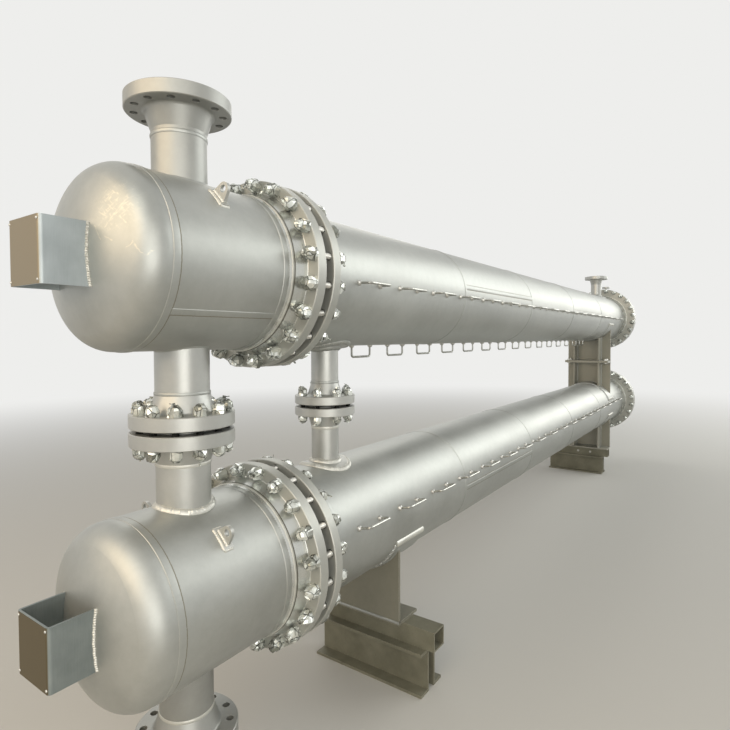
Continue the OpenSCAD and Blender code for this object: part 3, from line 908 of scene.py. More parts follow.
@dataclass(frozen=True)
class Barrel:
    """A round wall about a line along X, for the paths that lie on it; its radius is in metres."""

    axis: Vector
    radius: float

    def spot(self, x: float, angle: float) -> Bearing:
        """Returns the bearing at x, at an angle from the -Y side towards +Z, for a path round the wall."""
        up = Vector((0, -math.cos(angle), math.sin(angle)))
        return Bearing(Vector((x, self.axis.y, self.axis.z)) + up * self.radius, up, X_AXIS)

    def seam_round(self, shape: Shape, weld: Weld, x: float, seed: int) -> None:
        """Lays a closed seam round the wall at x."""
        weld.lay(shape, FULL_TURN * self.radius, lambda share: self.spot(x, FULL_TURN * share), True, seed)

    def seam_along(
        self, shape: Shape, weld: Weld, start: float, end: float, angle: float, seed: int,
    ) -> None:
        """Lays a straight seam along the wall.

        Args:
            shape: The shape that takes the bead.
            weld: The bead.
            start: X at which it starts.
            end: X at which it ends.
            angle: Its angle, from the -Y side towards +Z.
            seed: Seed of the bead's unevenness.
        """
        out = self.spot(start, angle)
        across = X_AXIS.cross(out.up)
        weld.lay(shape, end - start, lambda share: Bearing(
            out.point + X_AXIS * ((end - start) * share), out.up, across,
        ), False, seed)

    def arc(
        self, shape: Shape, weld: Weld, x: float, start: float, end: float, lean: float, seed: int,
    ) -> None:
        """Lays a seam over part of the wall.

        Args:
            shape: The shape that takes the bead.
            weld: The bead.
            x: Where the seam is.
            start: Angle at which it starts.
            end: Angle at which it ends.
            lean: How far it tips along X, for a fillet at a plate's edge.
            seed: Seed of the bead's unevenness.
        """
        def bearing(share: float) -> Bearing:
            """Places the bead.

            Args:
                share: Share of the seam.

            Returns:
                The bearing there.
            """
            place = self.spot(x, start + (end - start) * share)
            up = (place.up + X_AXIS * lean).normalized()
            return Bearing(place.point, up, (X_AXIS - place.up * lean).normalized())

        weld.lay(shape, abs(end - start) * self.radius, bearing, False, seed)

    def collar(self, shape: Shape, weld: Weld, x: float, radius: float, side: int, seed: int) -> None:
        """Lays the fillet where a round pipe or pad stands on the wall.

        Args:
            shape: The shape that takes the bead.
            weld: The bead.
            x: Where the pipe's axis meets the wall.
            radius: Radius of the pipe or pad, in metres.
            side: 1 above the wall and -1 below it.
            seed: Seed of the bead's unevenness.
        """
        def bearing(share: float) -> Bearing:
            """Places the bead.

            Args:
                share: Share of the fillet.

            Returns:
                The bearing there.
            """
            out = around(FULL_TURN * share, Z_AXIS, X_AXIS)
            y = out.y * radius
            wall = Vector((0, y, side * math.sqrt(self.radius ** 2 - y ** 2)))
            up = (wall / self.radius + out).normalized()
            point = Vector((x + out.x * radius, self.axis.y, self.axis.z)) + wall
            return Bearing(point, up, up.cross(Vector((-out.y, out.x, 0)) * side).normalized())

        weld.lay(shape, FULL_TURN * radius, bearing, True, seed)


def straight(shape: Shape, weld: Weld, start: Vector, end: Vector, up: Vector, seed: int) -> None:
    """Lays a straight fillet.

    Args:
        shape: The shape that takes the bead.
        weld: The bead.
        start: Where it starts.
        end: Where it ends.
        up: The way out of the corner that it fills.
        seed: Seed of the bead's unevenness.
    """
    across = (end - start).normalized().cross(up).normalized()
    weld.lay(shape, (end - start).length, lambda share: Bearing(
        start.lerp(end, share), up.normalized(), across,
    ), False, seed)


# Studs, bolts and rods


@dataclass(frozen=True)
class StudSize:
    """Sizes of a threaded stud and its nuts."""

    rod: float
    pitch: float
    across_flats: float
    nut: float
    stick_out: float


GIRTH_STUD = StudSize(rod=30.0, pitch=3.5, across_flats=54.0, nut=32.0, stick_out=24.0)
LINK_STUD = StudSize(rod=30.0, pitch=3.5, across_flats=46.0, nut=28.0, stick_out=16.0)
SHELL_NOZZLE_STUD = StudSize(rod=24.0, pitch=3.0, across_flats=38.0, nut=24.0, stick_out=16.0)
SADDLE_BOLT = StudSize(rod=22.0, pitch=2.5, across_flats=34.0, nut=19.0, stick_out=8.0)


@dataclass
class StudCircle:
    """Studs on one pitch circle that clamp a flanged joint, their nuts wrapped in film.

    Attributes:
        name: Name of the joint.
        centre: Where the joint's axis meets the low outer face.
        axis: Unit vector from the low outer face to the high one.
        first: Unit vector from which the studs' angles start.
        grip: Distance between the outer faces, in metres.
        size: The studs.
        pitch_circle: Diameter of the pitch circle.
        count: Number of studs.
        bare: Start and end of the stretch that shows between the flanges, from the low face.
        finish: Finish of the rods.
        film_gap: Thickness of the film's folds over the nut.
        crinkle: How far a fold stands out or in.
        fold_rise: How far a fold lies above or below its ring.
        corner_reach: How far the film reaches over a nut's corner, as a share of half its flats.
        lean: How far the film over a stud's end leans.
        tail_share: Share of the nuts that have a twisted tail of film.
        tail: How far each ring of a tail is along it, and its radius.
        tail_rise: How steeply a tail points out, from least to most.
        tail_bulge: How much a tail's corners shrink or swell.
        tail_flat: Thickness of a tail, as a share of its width.
        tail_droop: How far a tail sinks back along its length.
        tail_twist: How far it turns in a millimetre, in radians.
    """

    name: str
    centre: Vector
    axis: Vector
    first: Vector
    grip: float
    size: StudSize
    pitch_circle: float
    count: int
    bare: Span
    finish: Finish = BRIGHT_ROD
    sides: int = 12
    thread_rows: int = 3
    thread_depth: float = 0.6
    film_sides: int = 10
    film_gap: float = 3.0
    crinkle: float = 2.5
    fold_rise: float = 3.0
    corner_reach: float = 1.12
    lean: float = 4.0
    tail_share: float = 0.6
    tail_sides: int = 6
    tail: tuple[Span, ...] = ((-4, 9.0), (7, 5.0), (14, 3.0), (21, 6.0), (27, 2.0))
    tail_rise: Span = (0.1, 0.6)
    tail_bulge: Span = (0.7, 1.2)
    tail_flat: float = 0.4
    tail_droop: float = 0.12
    tail_twist: float = 0.06

    def build(self) -> None:
        """Makes the studs and the wrapped nuts of the joint."""
        rods = Shape()
        wraps = Shape()
        for i in range(self.count):
            out = around(FULL_TURN * (i + 0.5) / self.count, self.axis, self.first)
            foot = self.centre + out * (self.pitch_circle * MM / 2)
            self.add_rod(rods, foot, out)
            hand = random.Random(f"{self.name} {i}")
            self.add_wrap(wraps, foot, -self.axis, out, hand)
            self.add_wrap(wraps, foot + self.axis * self.grip, self.axis, out, hand)
        rods.piece(f"{self.name}_studs", self.finish, Slot.MACHINED_STEEL)
        wraps.piece(f"{self.name}_wrapped_nuts", NUT_FILM, Slot.CLIP_STEEL, FILM_CREASE_DEG)

    def add_rod(self, shape: Shape, foot: Vector, out: Vector) -> None:
        """Adds one stud, threaded where it shows between the flanges.

        Args:
            shape: The shape that takes the stud.
            foot: Where its axis meets the low outer face.
            out: The way out from the joint's axis.
        """
        reach = (self.size.nut + self.size.stick_out) * MM
        pitch = self.size.pitch * MM
        step = pitch / self.thread_rows
        inside = range(1, int((self.bare[1] - self.bare[0]) / step))
        threaded = [self.bare[0] + step * k for k in inside]
        rings = []
        for height in (-reach, self.bare[0], *threaded, self.bare[1], self.grip + reach):
            ring = []
            for angle in turns(self.sides):
                turn = (height / pitch - angle / FULL_TURN) % 1
                depth = self.thread_depth * self.size.pitch * abs(2 * turn - 1)
                radius = (self.size.rod / 2 - depth) * MM
                ring.append(foot + self.axis * height + around(angle, self.axis, out) * radius)
            rings.append(ring)
        shape.rings(rings)

    def add_wrap(self, shape: Shape, base: Vector, up: Vector, out: Vector, hand: random.Random) -> None:
        """Adds the film over a hexagon nut and the end of its stud.

        Args:
            shape: The shape that takes the film.
            base: Where the stud leaves the flange.
            up: The way that the stud points.
            out: The way out from the joint's axis.
            hand: Source of the folds.
        """
        sideways = up.cross(out)
        flats = self.size.across_flats / 2
        end = self.size.rod / 2
        nut = self.size.nut
        top = nut + self.size.stick_out
        turned = hand.uniform(0, HEX_STEP)
        lean = hand.uniform(-self.lean, self.lean)
        # Height, share of the hexagon and radius of the rest of each ring
        levels = (
            (-0.5, 1.0, 0.0), (nut * 0.5, 1.0, 0.0), (nut - 2, 0.9, end + 4), (nut + 7, 0.35, end + 4),
            (top - 5, 0.0, end + 3), (top + 2, 0.0, end * 0.55),
        )
        rings = []
        for height, hexagon, rest in levels:
            ring = []
            for angle in turns(self.film_sides):
                facet = (angle + turned) % HEX_STEP - HEX_STEP / 2
                corner = min(flats / math.cos(facet), flats * self.corner_reach)
                radius = hexagon * corner + (1 - hexagon) * rest + self.film_gap
                radius += hand.uniform(-self.crinkle, self.crinkle)
                rise = height + (0 if height < 0 else hand.uniform(-self.fold_rise, self.fold_rise))
                tip = lean * max(0.0, height - nut) / self.size.stick_out
                place = out * (math.cos(angle) * radius + tip) + sideways * (math.sin(angle) * radius)
                ring.append(base + (place + up * rise) * MM)
            rings.append(ring)
        shape.rings(rings)
        if hand.random() < self.tail_share:
            self.add_tail(shape, base + (out * lean + up * top) * MM, up, out, hand)

    def add_tail(self, shape: Shape, base: Vector, up: Vector, out: Vector, hand: random.Random) -> None:
        """Adds a twisted tail of film at the end of a stud.

        Args:
            shape: The shape that takes the tail.
            base: Where the film ends over the stud.
            up: The way that the stud points.
            out: The way out from the joint's axis.
            hand: Source of its twists.
        """
        sideways = up.cross(out)
        swing = around(hand.uniform(0, FULL_TURN), up, out)
        way = (up * hand.uniform(*self.tail_rise) + swing).normalized()
        flat = way.cross(sideways if abs(way.dot(sideways)) < 0.8 else out).normalized()
        root = self.size.rod / 4
        rings = []
        for along, width in self.tail:
            centre = base + (way * (along + root) + up * (2 - along * self.tail_droop)) * MM
            side = around(along * self.tail_twist, way, flat)
            other = way.cross(side) * self.tail_flat
            ring = []
            for angle in turns(self.tail_sides):
                spread = (side * math.cos(angle) + other * math.sin(angle)) * width
                ring.append(centre + spread * hand.uniform(*self.tail_bulge) * MM)
            rings.append(ring)
        shape.rings(rings)


# Height of each ring of a dome, as a share of the dome's
DOME_LEVELS = (-0.15, 0.3, 0.65, 0.9, 0.99)

# Height of each ring of a nut, and how far its corners reach, as shares of the height and half the flats
NUT_LEVELS = ((0.0, 1.155), (0.8, 1.155), (0.9, 1.08), (1.0, 0.97))
NUT_SIDES = 24
BOLT_SIDES = 12
BOLT_CHAMFER = 2.0
HEAD_SHARE = 0.7


def rod_along(shape: Shape, points: list[Vector], side: Vector, radius: float, sides: int = 8) -> None:
    """Adds a round rod along points that lie in one plane.

    Args:
        shape: The shape that takes the rod.
        points: Its middle line.
        side: Unit vector square to that plane.
        radius: Its radius, in metres.
        sides: Corners round it.
    """
    rings = []
    for i, point in enumerate(points):
        way = points[min(len(points) - 1, i + 1)] - points[max(0, i - 1)]
        up = way.normalized().cross(side).normalized()
        rings.append([point + (side * math.cos(a) + up * math.sin(a)) * radius for a in turns(sides)])
    shape.rings(rings)


def dome(shape: Shape, base: Vector, up: Vector, radius: float, height: float, sides: int = 10) -> None:
    """Adds a low round dome, such as a rivet's head or a blob of weld.

    Args:
        shape: The shape that takes the dome.
        base: Middle of its foot.
        up: The way that it stands out.
        radius: Radius of its foot.
        height: Its height.
        sides: Corners round it.
    """
    first = up.orthogonal().normalized()
    rings = []
    for share in DOME_LEVELS:
        size = math.sqrt(1 - max(0.0, share) ** 2) * radius * MM
        centre = base + up * (share * height * MM)
        rings.append([centre + around(angle, up, first) * size for angle in turns(sides)])
    shape.rings(rings)


def hexagon_nut(shape: Shape, base: Vector, up: Vector, first: Vector, flats: float, height: float) -> None:
    """Adds a hexagon nut or head with its corners turned off at the top.

    Args:
        shape: The shape that takes it.
        base: Middle of its foot.
        up: The way that it stands out.
        first: Unit vector from which its angles start.
        flats: Width across its flats.
        height: Its height.
    """
    rings = []
    for level, reach in NUT_LEVELS:
        ring = []
        for angle in turns(NUT_SIDES):
            hexagon = flats / 2 / math.cos(angle % HEX_STEP - HEX_STEP / 2)
            radius = min(hexagon, flats / 2 * reach)
            ring.append(base + (around(angle, up, first) * radius + up * (level * height)) * MM)
        rings.append(ring)
    shape.rings(rings)


def hexagon_bolt(rods: Shape, nuts: Shape, middle: Vector, axis: Vector, grip: float, size: StudSize) -> None:
    """Adds a bolt through middle, with a hexagon head below and a nut above.

    Args:
        rods: The shape that takes the shank.
        nuts: The shape that takes the head and the nut.
        middle: Middle of what the bolt clamps.
        axis: The way that the bolt points.
        grip: Thickness of what it clamps, in metres.
        size: The bolt.
    """
    first = axis.orthogonal().normalized()
    head = size.nut * HEAD_SHARE
    low = middle - axis * (grip / 2 + head * MM)
    high = middle + axis * (grip / 2 + (size.nut + size.stick_out) * MM)
    rod = size.rod / 2
    rings = []
    for place, radius in (
        (low, rod), (high - axis * BOLT_CHAMFER * MM, rod), (high, rod - BOLT_CHAMFER),
    ):
        rings.append([place + around(angle, axis, first) * radius * MM for angle in turns(BOLT_SIDES)])
    rods.rings(rings)
    for side, height in ((1, size.nut), (-1, head)):
        base = middle + axis * (side * grip / 2)
        hexagon_nut(nuts, base, axis * side, first, size.across_flats, height)


# Vessels


@dataclass
class Vessel:
    """One exchanger: the welds, studs and clips that stand on its CAD nodes.

    Stations are distances along X from the channel flange's outer face.

    Attributes:
        level: Which of the two it is.
        barrel_seam_deg: Angle of the channel's long seam, from the -Y side towards +Z.
        courses: Stations of the shell's round seams.
        long_seams_deg: Angle of each course's long seam.
        clip_gaps: Station and half length of what leaves no room for a clip below.
        clip_angle_deg: Angle of the clips' near row.
        hub_slope: How much the hub widens along its length.
        crown: Crown radius of the dished head.
    """

    level: Level
    barrel_seam_deg: float
    courses: tuple[float, ...]
    long_seams_deg: tuple[float, ...]
    clip_gaps: tuple[Span, ...]
    clip_angle_deg: float
    flange_thickness: float = 56.0
    shell_flange: float = 50.0
    hub_seam_shift: float = 5.0
    head_seam_shift: float = 4.0
    hub_slope: float = 0.28
    hub_toe: float = 30.0
    hub_groove: float = 40.0
    head_groove: float = 14.0
    channel_nozzle_back: float = 364.0
    crown: float = 660.0
    girth_pcd: float = 808.0
    girth_count: int = 20
    rear_pcd: float = 910.0
    rear_count: int = 24
    rear_flange: float = 60.0
    rear_gasket: float = 6.0
    bracket_width: float = 216.0
    rivet_inset: float = 13.0
    rivet_radius: float = 5.0
    rivet_height: float = 3.2
    lug_angle_deg: float = 45.0
    lug_width: float = 76.0
    lug_thickness: float = 14.0
    pad_width: float = 94.0
    pad_length: float = 40.0
    pad_thickness: float = 8.0
    clip_first: float = 420.0
    clip_pitch: float = 388.0
    clip_count: int = 18
    clip_length: float = 187.0
    clip_height: float = 68.0
    clip_rod: float = 13.0
    clip_root: float = 4.0
    clip_lean: float = 2.0
    clip_bend: float = 17.0
    clip_bend_steps: int = 4
    clip_foot: float = 17.0
    clip_foot_height: float = 15.0
    clip_foot_stray: float = 3.0
    clip_foot_spread: float = 2.0
    axis: Vector = field(init=False)
    start: float = field(init=False)
    channel: Barrel = field(init=False)
    shell: Barrel = field(init=False)

    def __post_init__(self) -> None:
        """Takes the vessel's axis, radii and first station from the CAD nodes."""
        sheet_low, sheet_high = self.box("tubesheet")
        self.axis = Vector((0, 0, (sheet_low.z + sheet_high.z) / 2))
        self.start = sheet_low.x - self.flange_thickness * MM
        self.channel, self.shell = (
            Barrel(self.axis, (high.z - low.z) / 2)
            for low, high in (self.box("channel_barrel"), self.box("shell"))
        )

    def piece_name(self, part: str) -> str:
        """Returns the name of one of this vessel's parts."""
        return f"{self.level.value}_{part}"

    def box(self, part: str) -> tuple[Vector, Vector]:
        """Returns the corners of one of this vessel's nodes."""
        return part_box(f"{self.level.value}_{part}")

    def at(self, station: float) -> float:
        """Returns the X of a station."""
        return self.start + station * MM

    def build(self) -> None:
        """Makes all that this vessel carries."""
        self.build_channel_welds()
        self.build_shell_welds()
        self.build_bracket_trim()
        self.build_lug_welds()
        self.build_studs()
        self.build_clips()

    def build_channel_welds(self) -> None:
        """Lays the channel's seams, with lines of painted highlight and painted shade beside them."""
        low, high = self.box("channel_barrel")
        seams, toe, groove, shade_lines = (Shape() for _ in range(4))
        # Shape, weld, distance up the hub, place and seed of each round seam
        for shape, weld, up_hub, x, seed in (
            (seams, HEAD_SEAM, 0.0, low.x - self.head_seam_shift * MM, 11),
            (seams, HUB_SEAM, 0.0, high.x + self.hub_seam_shift * MM, 12),
            # A pale ridge of painted highlight up the hub, then dark lines of painted shade on the hub and by
            # the head
            (toe, HUB_TOE, self.hub_toe, high.x + self.hub_toe * MM, 14),
            (groove, GROOVE_LINE, self.hub_groove, high.x + self.hub_groove * MM, 15),
            (shade_lines, TOE_LINE, 0.0, low.x + self.head_groove * MM, 16),
        ):
            wall = Barrel(self.axis, self.channel.radius + self.hub_slope * up_hub * MM)
            wall.seam_round(shape, weld, x, seed)
        inset = CHANNEL_SEAM.width * MM / 2
        below = (CHANNEL_SEAM.width + TOE_LINE.width) / 2 * MM / self.channel.radius
        angle = math.radians(self.barrel_seam_deg)
        # The long seam, with a line of painted shade below it
        for shape, weld, turn, seed in (
            (seams, CHANNEL_SEAM, angle, 13), (shade_lines, TOE_LINE, angle - below, 17),
        ):
            self.channel.seam_along(shape, weld, low.x + inset, high.x - inset, turn, seed)
        for shape, part, finish in (
            (seams, "channel_seams", SHELL_PAINT), (toe, "hub_toe", WELD_PAINT),
            (groove, "hub_groove", GROOVE_SHADE), (shade_lines, "channel_toe_lines", TOE_SHADE),
        ):
            shape.piece(self.piece_name(part), finish, crease_deg=SEAM_CREASE_DEG)

    def build_shell_welds(self) -> None:
        """Lays the seams round and along the shell's courses, with painted shade at the long seams' toes."""
        seams = Shape()
        shade_lines = Shape()
        low, high = self.box("shell")
        edges = [low.x, *[self.at(c) for c in self.courses], high.x]
        for i, x in enumerate(edges):
            self.shell.seam_round(seams, SHELL_SEAM, x, 20 + i)
        toe = (SHELL_SEAM.width + TOE_LINE.width) / 2 * MM / self.shell.radius
        for i, degrees in enumerate(self.long_seams_deg):
            ends = edges[i:i + 2]
            angle = math.radians(degrees)
            self.shell.seam_along(seams, SHELL_SEAM, *ends, angle, 30 + i)
            # A line of painted shade along each toe
            for side in (-1, 1):
                self.shell.seam_along(shade_lines, TOE_LINE, *ends, angle + side * toe, 120 + 2 * i + side)
        cover_low, cover_high = self.box("rear_cover")
        cover = Barrel(self.axis, (cover_high.y - cover_low.y) / 2)
        cover.seam_round(seams, SHELL_SEAM, self.box("rear_cover_flange")[1].x, 40)
        seams.piece(self.piece_name("shell_seams"), SHELL_PAINT, crease_deg=SEAM_CREASE_DEG)
        shade_lines.piece(self.piece_name("seam_toe_lines"), TOE_SHADE, crease_deg=SEAM_CREASE_DEG)

    def build_bracket_trim(self) -> None:
        """Lays the welds that hold the bracket to the dished head, and sets its corner rivets."""
        low, high = self.box("nameplate_bracket")
        crown = self.crown * MM
        centre = Vector((self.box("channel_head")[0].x + crown, 0, self.axis.z))
        welds = Shape()
        for side in (-1, 1):
            y = side * self.bracket_width * MM / 2

            def bearing(share: float) -> Bearing:
                """Places the bead.

                Args:
                    share: Share of the bracket's height.

                Returns:
                    The bearing there.
                """
                aside = Vector((0, y, low.z + (high.z - low.z) * share - centre.z))
                out = aside - X_AXIS * math.sqrt(crown ** 2 - aside.length_squared)
                up = (out.normalized() + Y_AXIS * side).normalized()
                return Bearing(centre + out, up, Z_AXIS.cross(up).normalized())

            BRACKET_FILLET.lay(welds, high.z - low.z, bearing, False, 50 + side)
        welds.piece(self.piece_name("bracket_welds"), WELD_PAINT)
        rivets = Shape()
        inset = self.rivet_inset * MM
        for y in (low.y + inset, high.y - inset):
            for z in (low.z + inset, high.z - inset):
                dome(rivets, Vector((low.x, y, z)), -X_AXIS, self.rivet_radius, self.rivet_height)
        rivets.piece(self.piece_name("bracket_rivets"), BRIGHT_ROD, Slot.CLIP_STEEL)

    def build_lug_welds(self) -> None:
        """Lays the welds round each lug's pad and along its foot."""
        shape = Shape()
        middle = self.at(-self.channel_nozzle_back)
        half = self.pad_length * MM / 2
        swing = math.asin(self.pad_width * MM / 2 / self.channel.radius)
        pad = Barrel(self.axis, self.channel.radius + self.pad_thickness * MM)
        foot = self.lug_width * MM / 2 / pad.radius
        for number, turn in enumerate((-self.lug_angle_deg, self.lug_angle_deg)):
            angle = math.radians(90 + turn)
            for side in (-1, 1):
                seed = 60 + 10 * number + side
                edge = middle + side * half
                face = middle + side * self.lug_thickness * MM / 2
                self.channel.arc(shape, PLATE_FILLET, edge, angle - swing, angle + swing, side, seed)
                self.channel.seam_along(
                    shape, PLATE_FILLET, middle - half, middle + half, angle + side * swing, seed + 3,
                )
                pad.arc(shape, PLATE_FILLET, face, angle - foot, angle + foot, side, seed + 5)
        shape.piece(self.piece_name("lug_welds"), WELD_PAINT)

    def build_studs(self) -> None:
        """Makes the studs of the girth joint and of the rear joint."""
        sheet_low, sheet_high = self.box("tubesheet")
        rear = self.box("rear_shell_flange")[1].x
        half = self.rear_gasket * MM / 2
        # Name, gap between the flanges, their thicknesses, pitch circle and number of each joint
        for name, start, end, first, last, pitch_circle, count in (
            ("girth", sheet_low.x, sheet_high.x, self.flange_thickness, self.shell_flange,
             self.girth_pcd, self.girth_count),
            ("rear", rear - half, rear + half, self.rear_flange, self.rear_flange,
             self.rear_pcd, self.rear_count),
        ):
            low = start - first * MM
            grip = end + last * MM - low
            StudCircle(
                self.piece_name(name), Vector((low, 0, self.axis.z)), X_AXIS, Z_AXIS, grip, GIRTH_STUD,
                pitch_circle, count, (start - low, end - low),
            ).build()

    def build_clips(self) -> None:
        """Makes the bent rod clips that hold insulation, in two side rows and one row below."""
        rods = Shape()
        feet = Shape()
        hand = random.Random(f"{self.level.value} clips")
        side = math.radians(self.clip_angle_deg)
        spare = self.clip_length / 2 + self.clip_rod
        for i in range(self.clip_count):
            station = self.clip_first + i * self.clip_pitch
            middle = station + self.clip_length / 2
            below = all(abs(middle - gap) >= half + spare for gap, half in self.clip_gaps)
            for angle in (side, math.pi - side, -math.pi / 2)[:3 if below else 2]:
                self.add_clip(rods, feet, self.at(station), angle, hand)
        feet.piece(self.piece_name("clip_welds"), BRIGHT_ROD, Slot.CLIP_STEEL)
        clips = rods.piece(self.piece_name("bent_clips"), CLIP_ROD, Slot.CLIP_STEEL)
        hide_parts(self.piece_name("insulation_clips"))

    def add_clip(self, rods: Shape, feet: Shape, x: float, angle: float, hand: random.Random) -> None:
        """Adds one clip, with a blob of weld at each end.

        Args:
            rods: The shape that takes the clip.
            feet: The shape that takes the blobs.
            x: Where the clip starts.
            angle: Its angle, from the -Y side towards +Z.
            hand: Source of its lean and of the blobs' sizes.
        """
        place = self.shell.spot(x, angle)
        up, across = place.up, place.across
        bend = self.clip_bend * MM
        top = self.clip_height * MM
        length = self.clip_length * MM
        lean = hand.uniform(-self.clip_lean, self.clip_lean) * MM
        path = [(0.0, -self.clip_root * MM), (0.0, top - bend)]
        for k in range(1, self.clip_bend_steps):
            turn = math.pi / 2 * k / self.clip_bend_steps
            path.append((bend - bend * math.cos(turn), top - bend + bend * math.sin(turn)))
        path.append((bend, top))
        path += [(length - along, height) for along, height in reversed(path)]
        sideways = across.cross(up)
        points = [
            place.point + across * along + up * height + sideways * (lean * height / top)
            for along, height in path
        ]
        rod_along(rods, points, sideways, self.clip_rod * MM / 2)
        for along in (0.0, length):
            stray = hand.uniform(-self.clip_foot_stray, self.clip_foot_stray) * MM
            foot = place.point + across * (along + stray)
            radius = self.clip_foot + hand.uniform(-self.clip_foot_spread, self.clip_foot_spread)
            dome(feet, foot - up * MM, up, radius, self.clip_foot_height)


@dataclass
class NozzleNeck:
    """The welds of one weld neck nozzle: the fillet at its foot and the seam under its hub.

    Attributes:
        wall: The wall that its foot stands on.
        x: Where its axis is.
        side: 1 above the vessel and -1 below it.
        pipe: Outside diameter of the pipe.
        neck: Distance from the vessel's axis to the seam under the hub.
        foot: The fillet at its foot.
        pad: Diameter of the reinforcing pad, or 0 where there is none.
    """

    wall: Barrel
    x: float
    side: int
    pipe: float
    neck: float
    foot: Weld = FOOT_FILLET
    pad: float = 0.0
    pad_thickness: float = 12.0

    def lay(self, shape: Shape, seed: int) -> None:
        """Lays all welds of the nozzle.

        Args:
            shape: The shape that takes the beads.
            seed: Seed of their unevenness.
        """
        wall = self.wall
        if self.pad:
            wall.collar(shape, PAD_FILLET, self.x, self.pad * MM / 2, self.side, seed)
            wall = Barrel(wall.axis, wall.radius + self.pad_thickness * MM)
        radius = self.pipe * MM / 2
        wall.collar(shape, self.foot, self.x, radius, self.side, seed + 1)
        centre = Vector((self.x, 0, wall.axis.z + self.side * self.neck * MM))

        def bearing(share: float) -> Bearing:
            """Returns the bearing at a share of the neck's seam."""
            out = around(FULL_TURN * share, Z_AXIS, X_AXIS)
            return Bearing(centre + out * radius, out, Z_AXIS)

        NECK_SEAM.lay(shape, FULL_TURN * radius, bearing, True, seed + 2)


@dataclass
class Saddle:
    """The welds of one saddle: round its wrap plate, its web, its ribs and its base.

    Attributes:
        node: The CAD node.
        vessel: The vessel that it carries or stands on.
        down: -1 where the saddle is below the vessel and 1 where it is above.
        web_side: The end of the saddle at which its web stands.
    """

    node: str
    vessel: Vessel
    down: int
    web_side: int
    wrap_half_deg: float = 70.0
    wrap_thickness: float = 12.0
    base_length: float = 206.0
    base_thickness: float = 16.0
    width: float = 600.0
    web: float = 16.0
    rib: float = 170.0

    def build(self) -> None:
        """Makes the saddle's welds, which shine at the wrap's ends and are painted elsewhere."""
        shape = Shape()
        ends = Shape()
        low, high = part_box(self.node)
        middle = (low.x + high.x) / 2
        wall = self.vessel.shell
        centre = self.down * math.pi / 2
        half = math.radians(self.wrap_half_deg)
        for side, edge in ((-1, low.x), (1, high.x)):
            wall.arc(shape, WRAP_FILLET, edge, centre - half, centre + half, side, 70 + side)
            wall.seam_along(ends, END_FILLET, low.x, high.x, centre + side * half, 72 + side)
        wrap = Barrel(wall.axis, wall.radius + self.wrap_thickness * MM)
        outer = middle + self.web_side * self.base_length * MM / 2
        inner = outer - self.web_side * self.web * MM
        far = middle - self.web_side * self.base_length * MM / 2
        base = (low.z if self.down < 0 else high.z) - self.down * self.base_thickness * MM
        away = Z_AXIS * -self.down
        edge = self.width * MM / 2
        # Each face of the web, the way that it looks, half its width at the wrap and its seed
        for face, out, reach, seed in (
            (outer, self.web_side, edge, 75), (inner, -self.web_side, (self.rib - self.web / 2) * MM, 76),
        ):
            swing = math.asin(reach / wrap.radius)
            wrap.arc(shape, PLATE_FILLET, face, centre - swing, centre + swing, out, seed)
            ends_of_web = Vector((face, -edge, base)), Vector((face, edge, base))
            straight(shape, PLATE_FILLET, *ends_of_web, away + X_AXIS * out, 77 + out)
        for rib_side in (-1, 1):
            for face_side in (-1, 1):
                y = (rib_side * self.rib + face_side * self.web / 2) * MM
                root = Vector((inner, y, base))
                top = Vector((inner, y, wall.axis.z + self.down * math.sqrt(wrap.radius ** 2 - y ** 2)))
                for end, up, seed in (
                    (Vector((far, y, base)), away, 80), (top, -X_AXIS * self.web_side, 84),
                ):
                    straight(shape, PLATE_FILLET, root, end, up + Y_AXIS * face_side, seed + face_side)
        shape.piece(f"{self.node}_welds", SHELL_PAINT, Slot.SADDLE_PAINT)
        ends.piece(f"{self.node}_wrap_end_welds", WELD_PAINT, Slot.SADDLE_PAINT)


@dataclass(frozen=True)
class NozzleSize:
    """Sizes of a kind of nozzle: pipe, axis to neck seam, flange, pitch circle, bolts and studs."""

    pipe: float
    neck: float
    flange: float
    pitch_circle: float
    bolts: int
    stud: StudSize


CHANNEL_NOZZLE = NozzleSize(219.0, 517.0, 56.0, 349.0, 12, LINK_STUD)
SHELL_NOZZLE = NozzleSize(150.0, 536.0, 45.0, 267.0, 8, SHELL_NOZZLE_STUD)


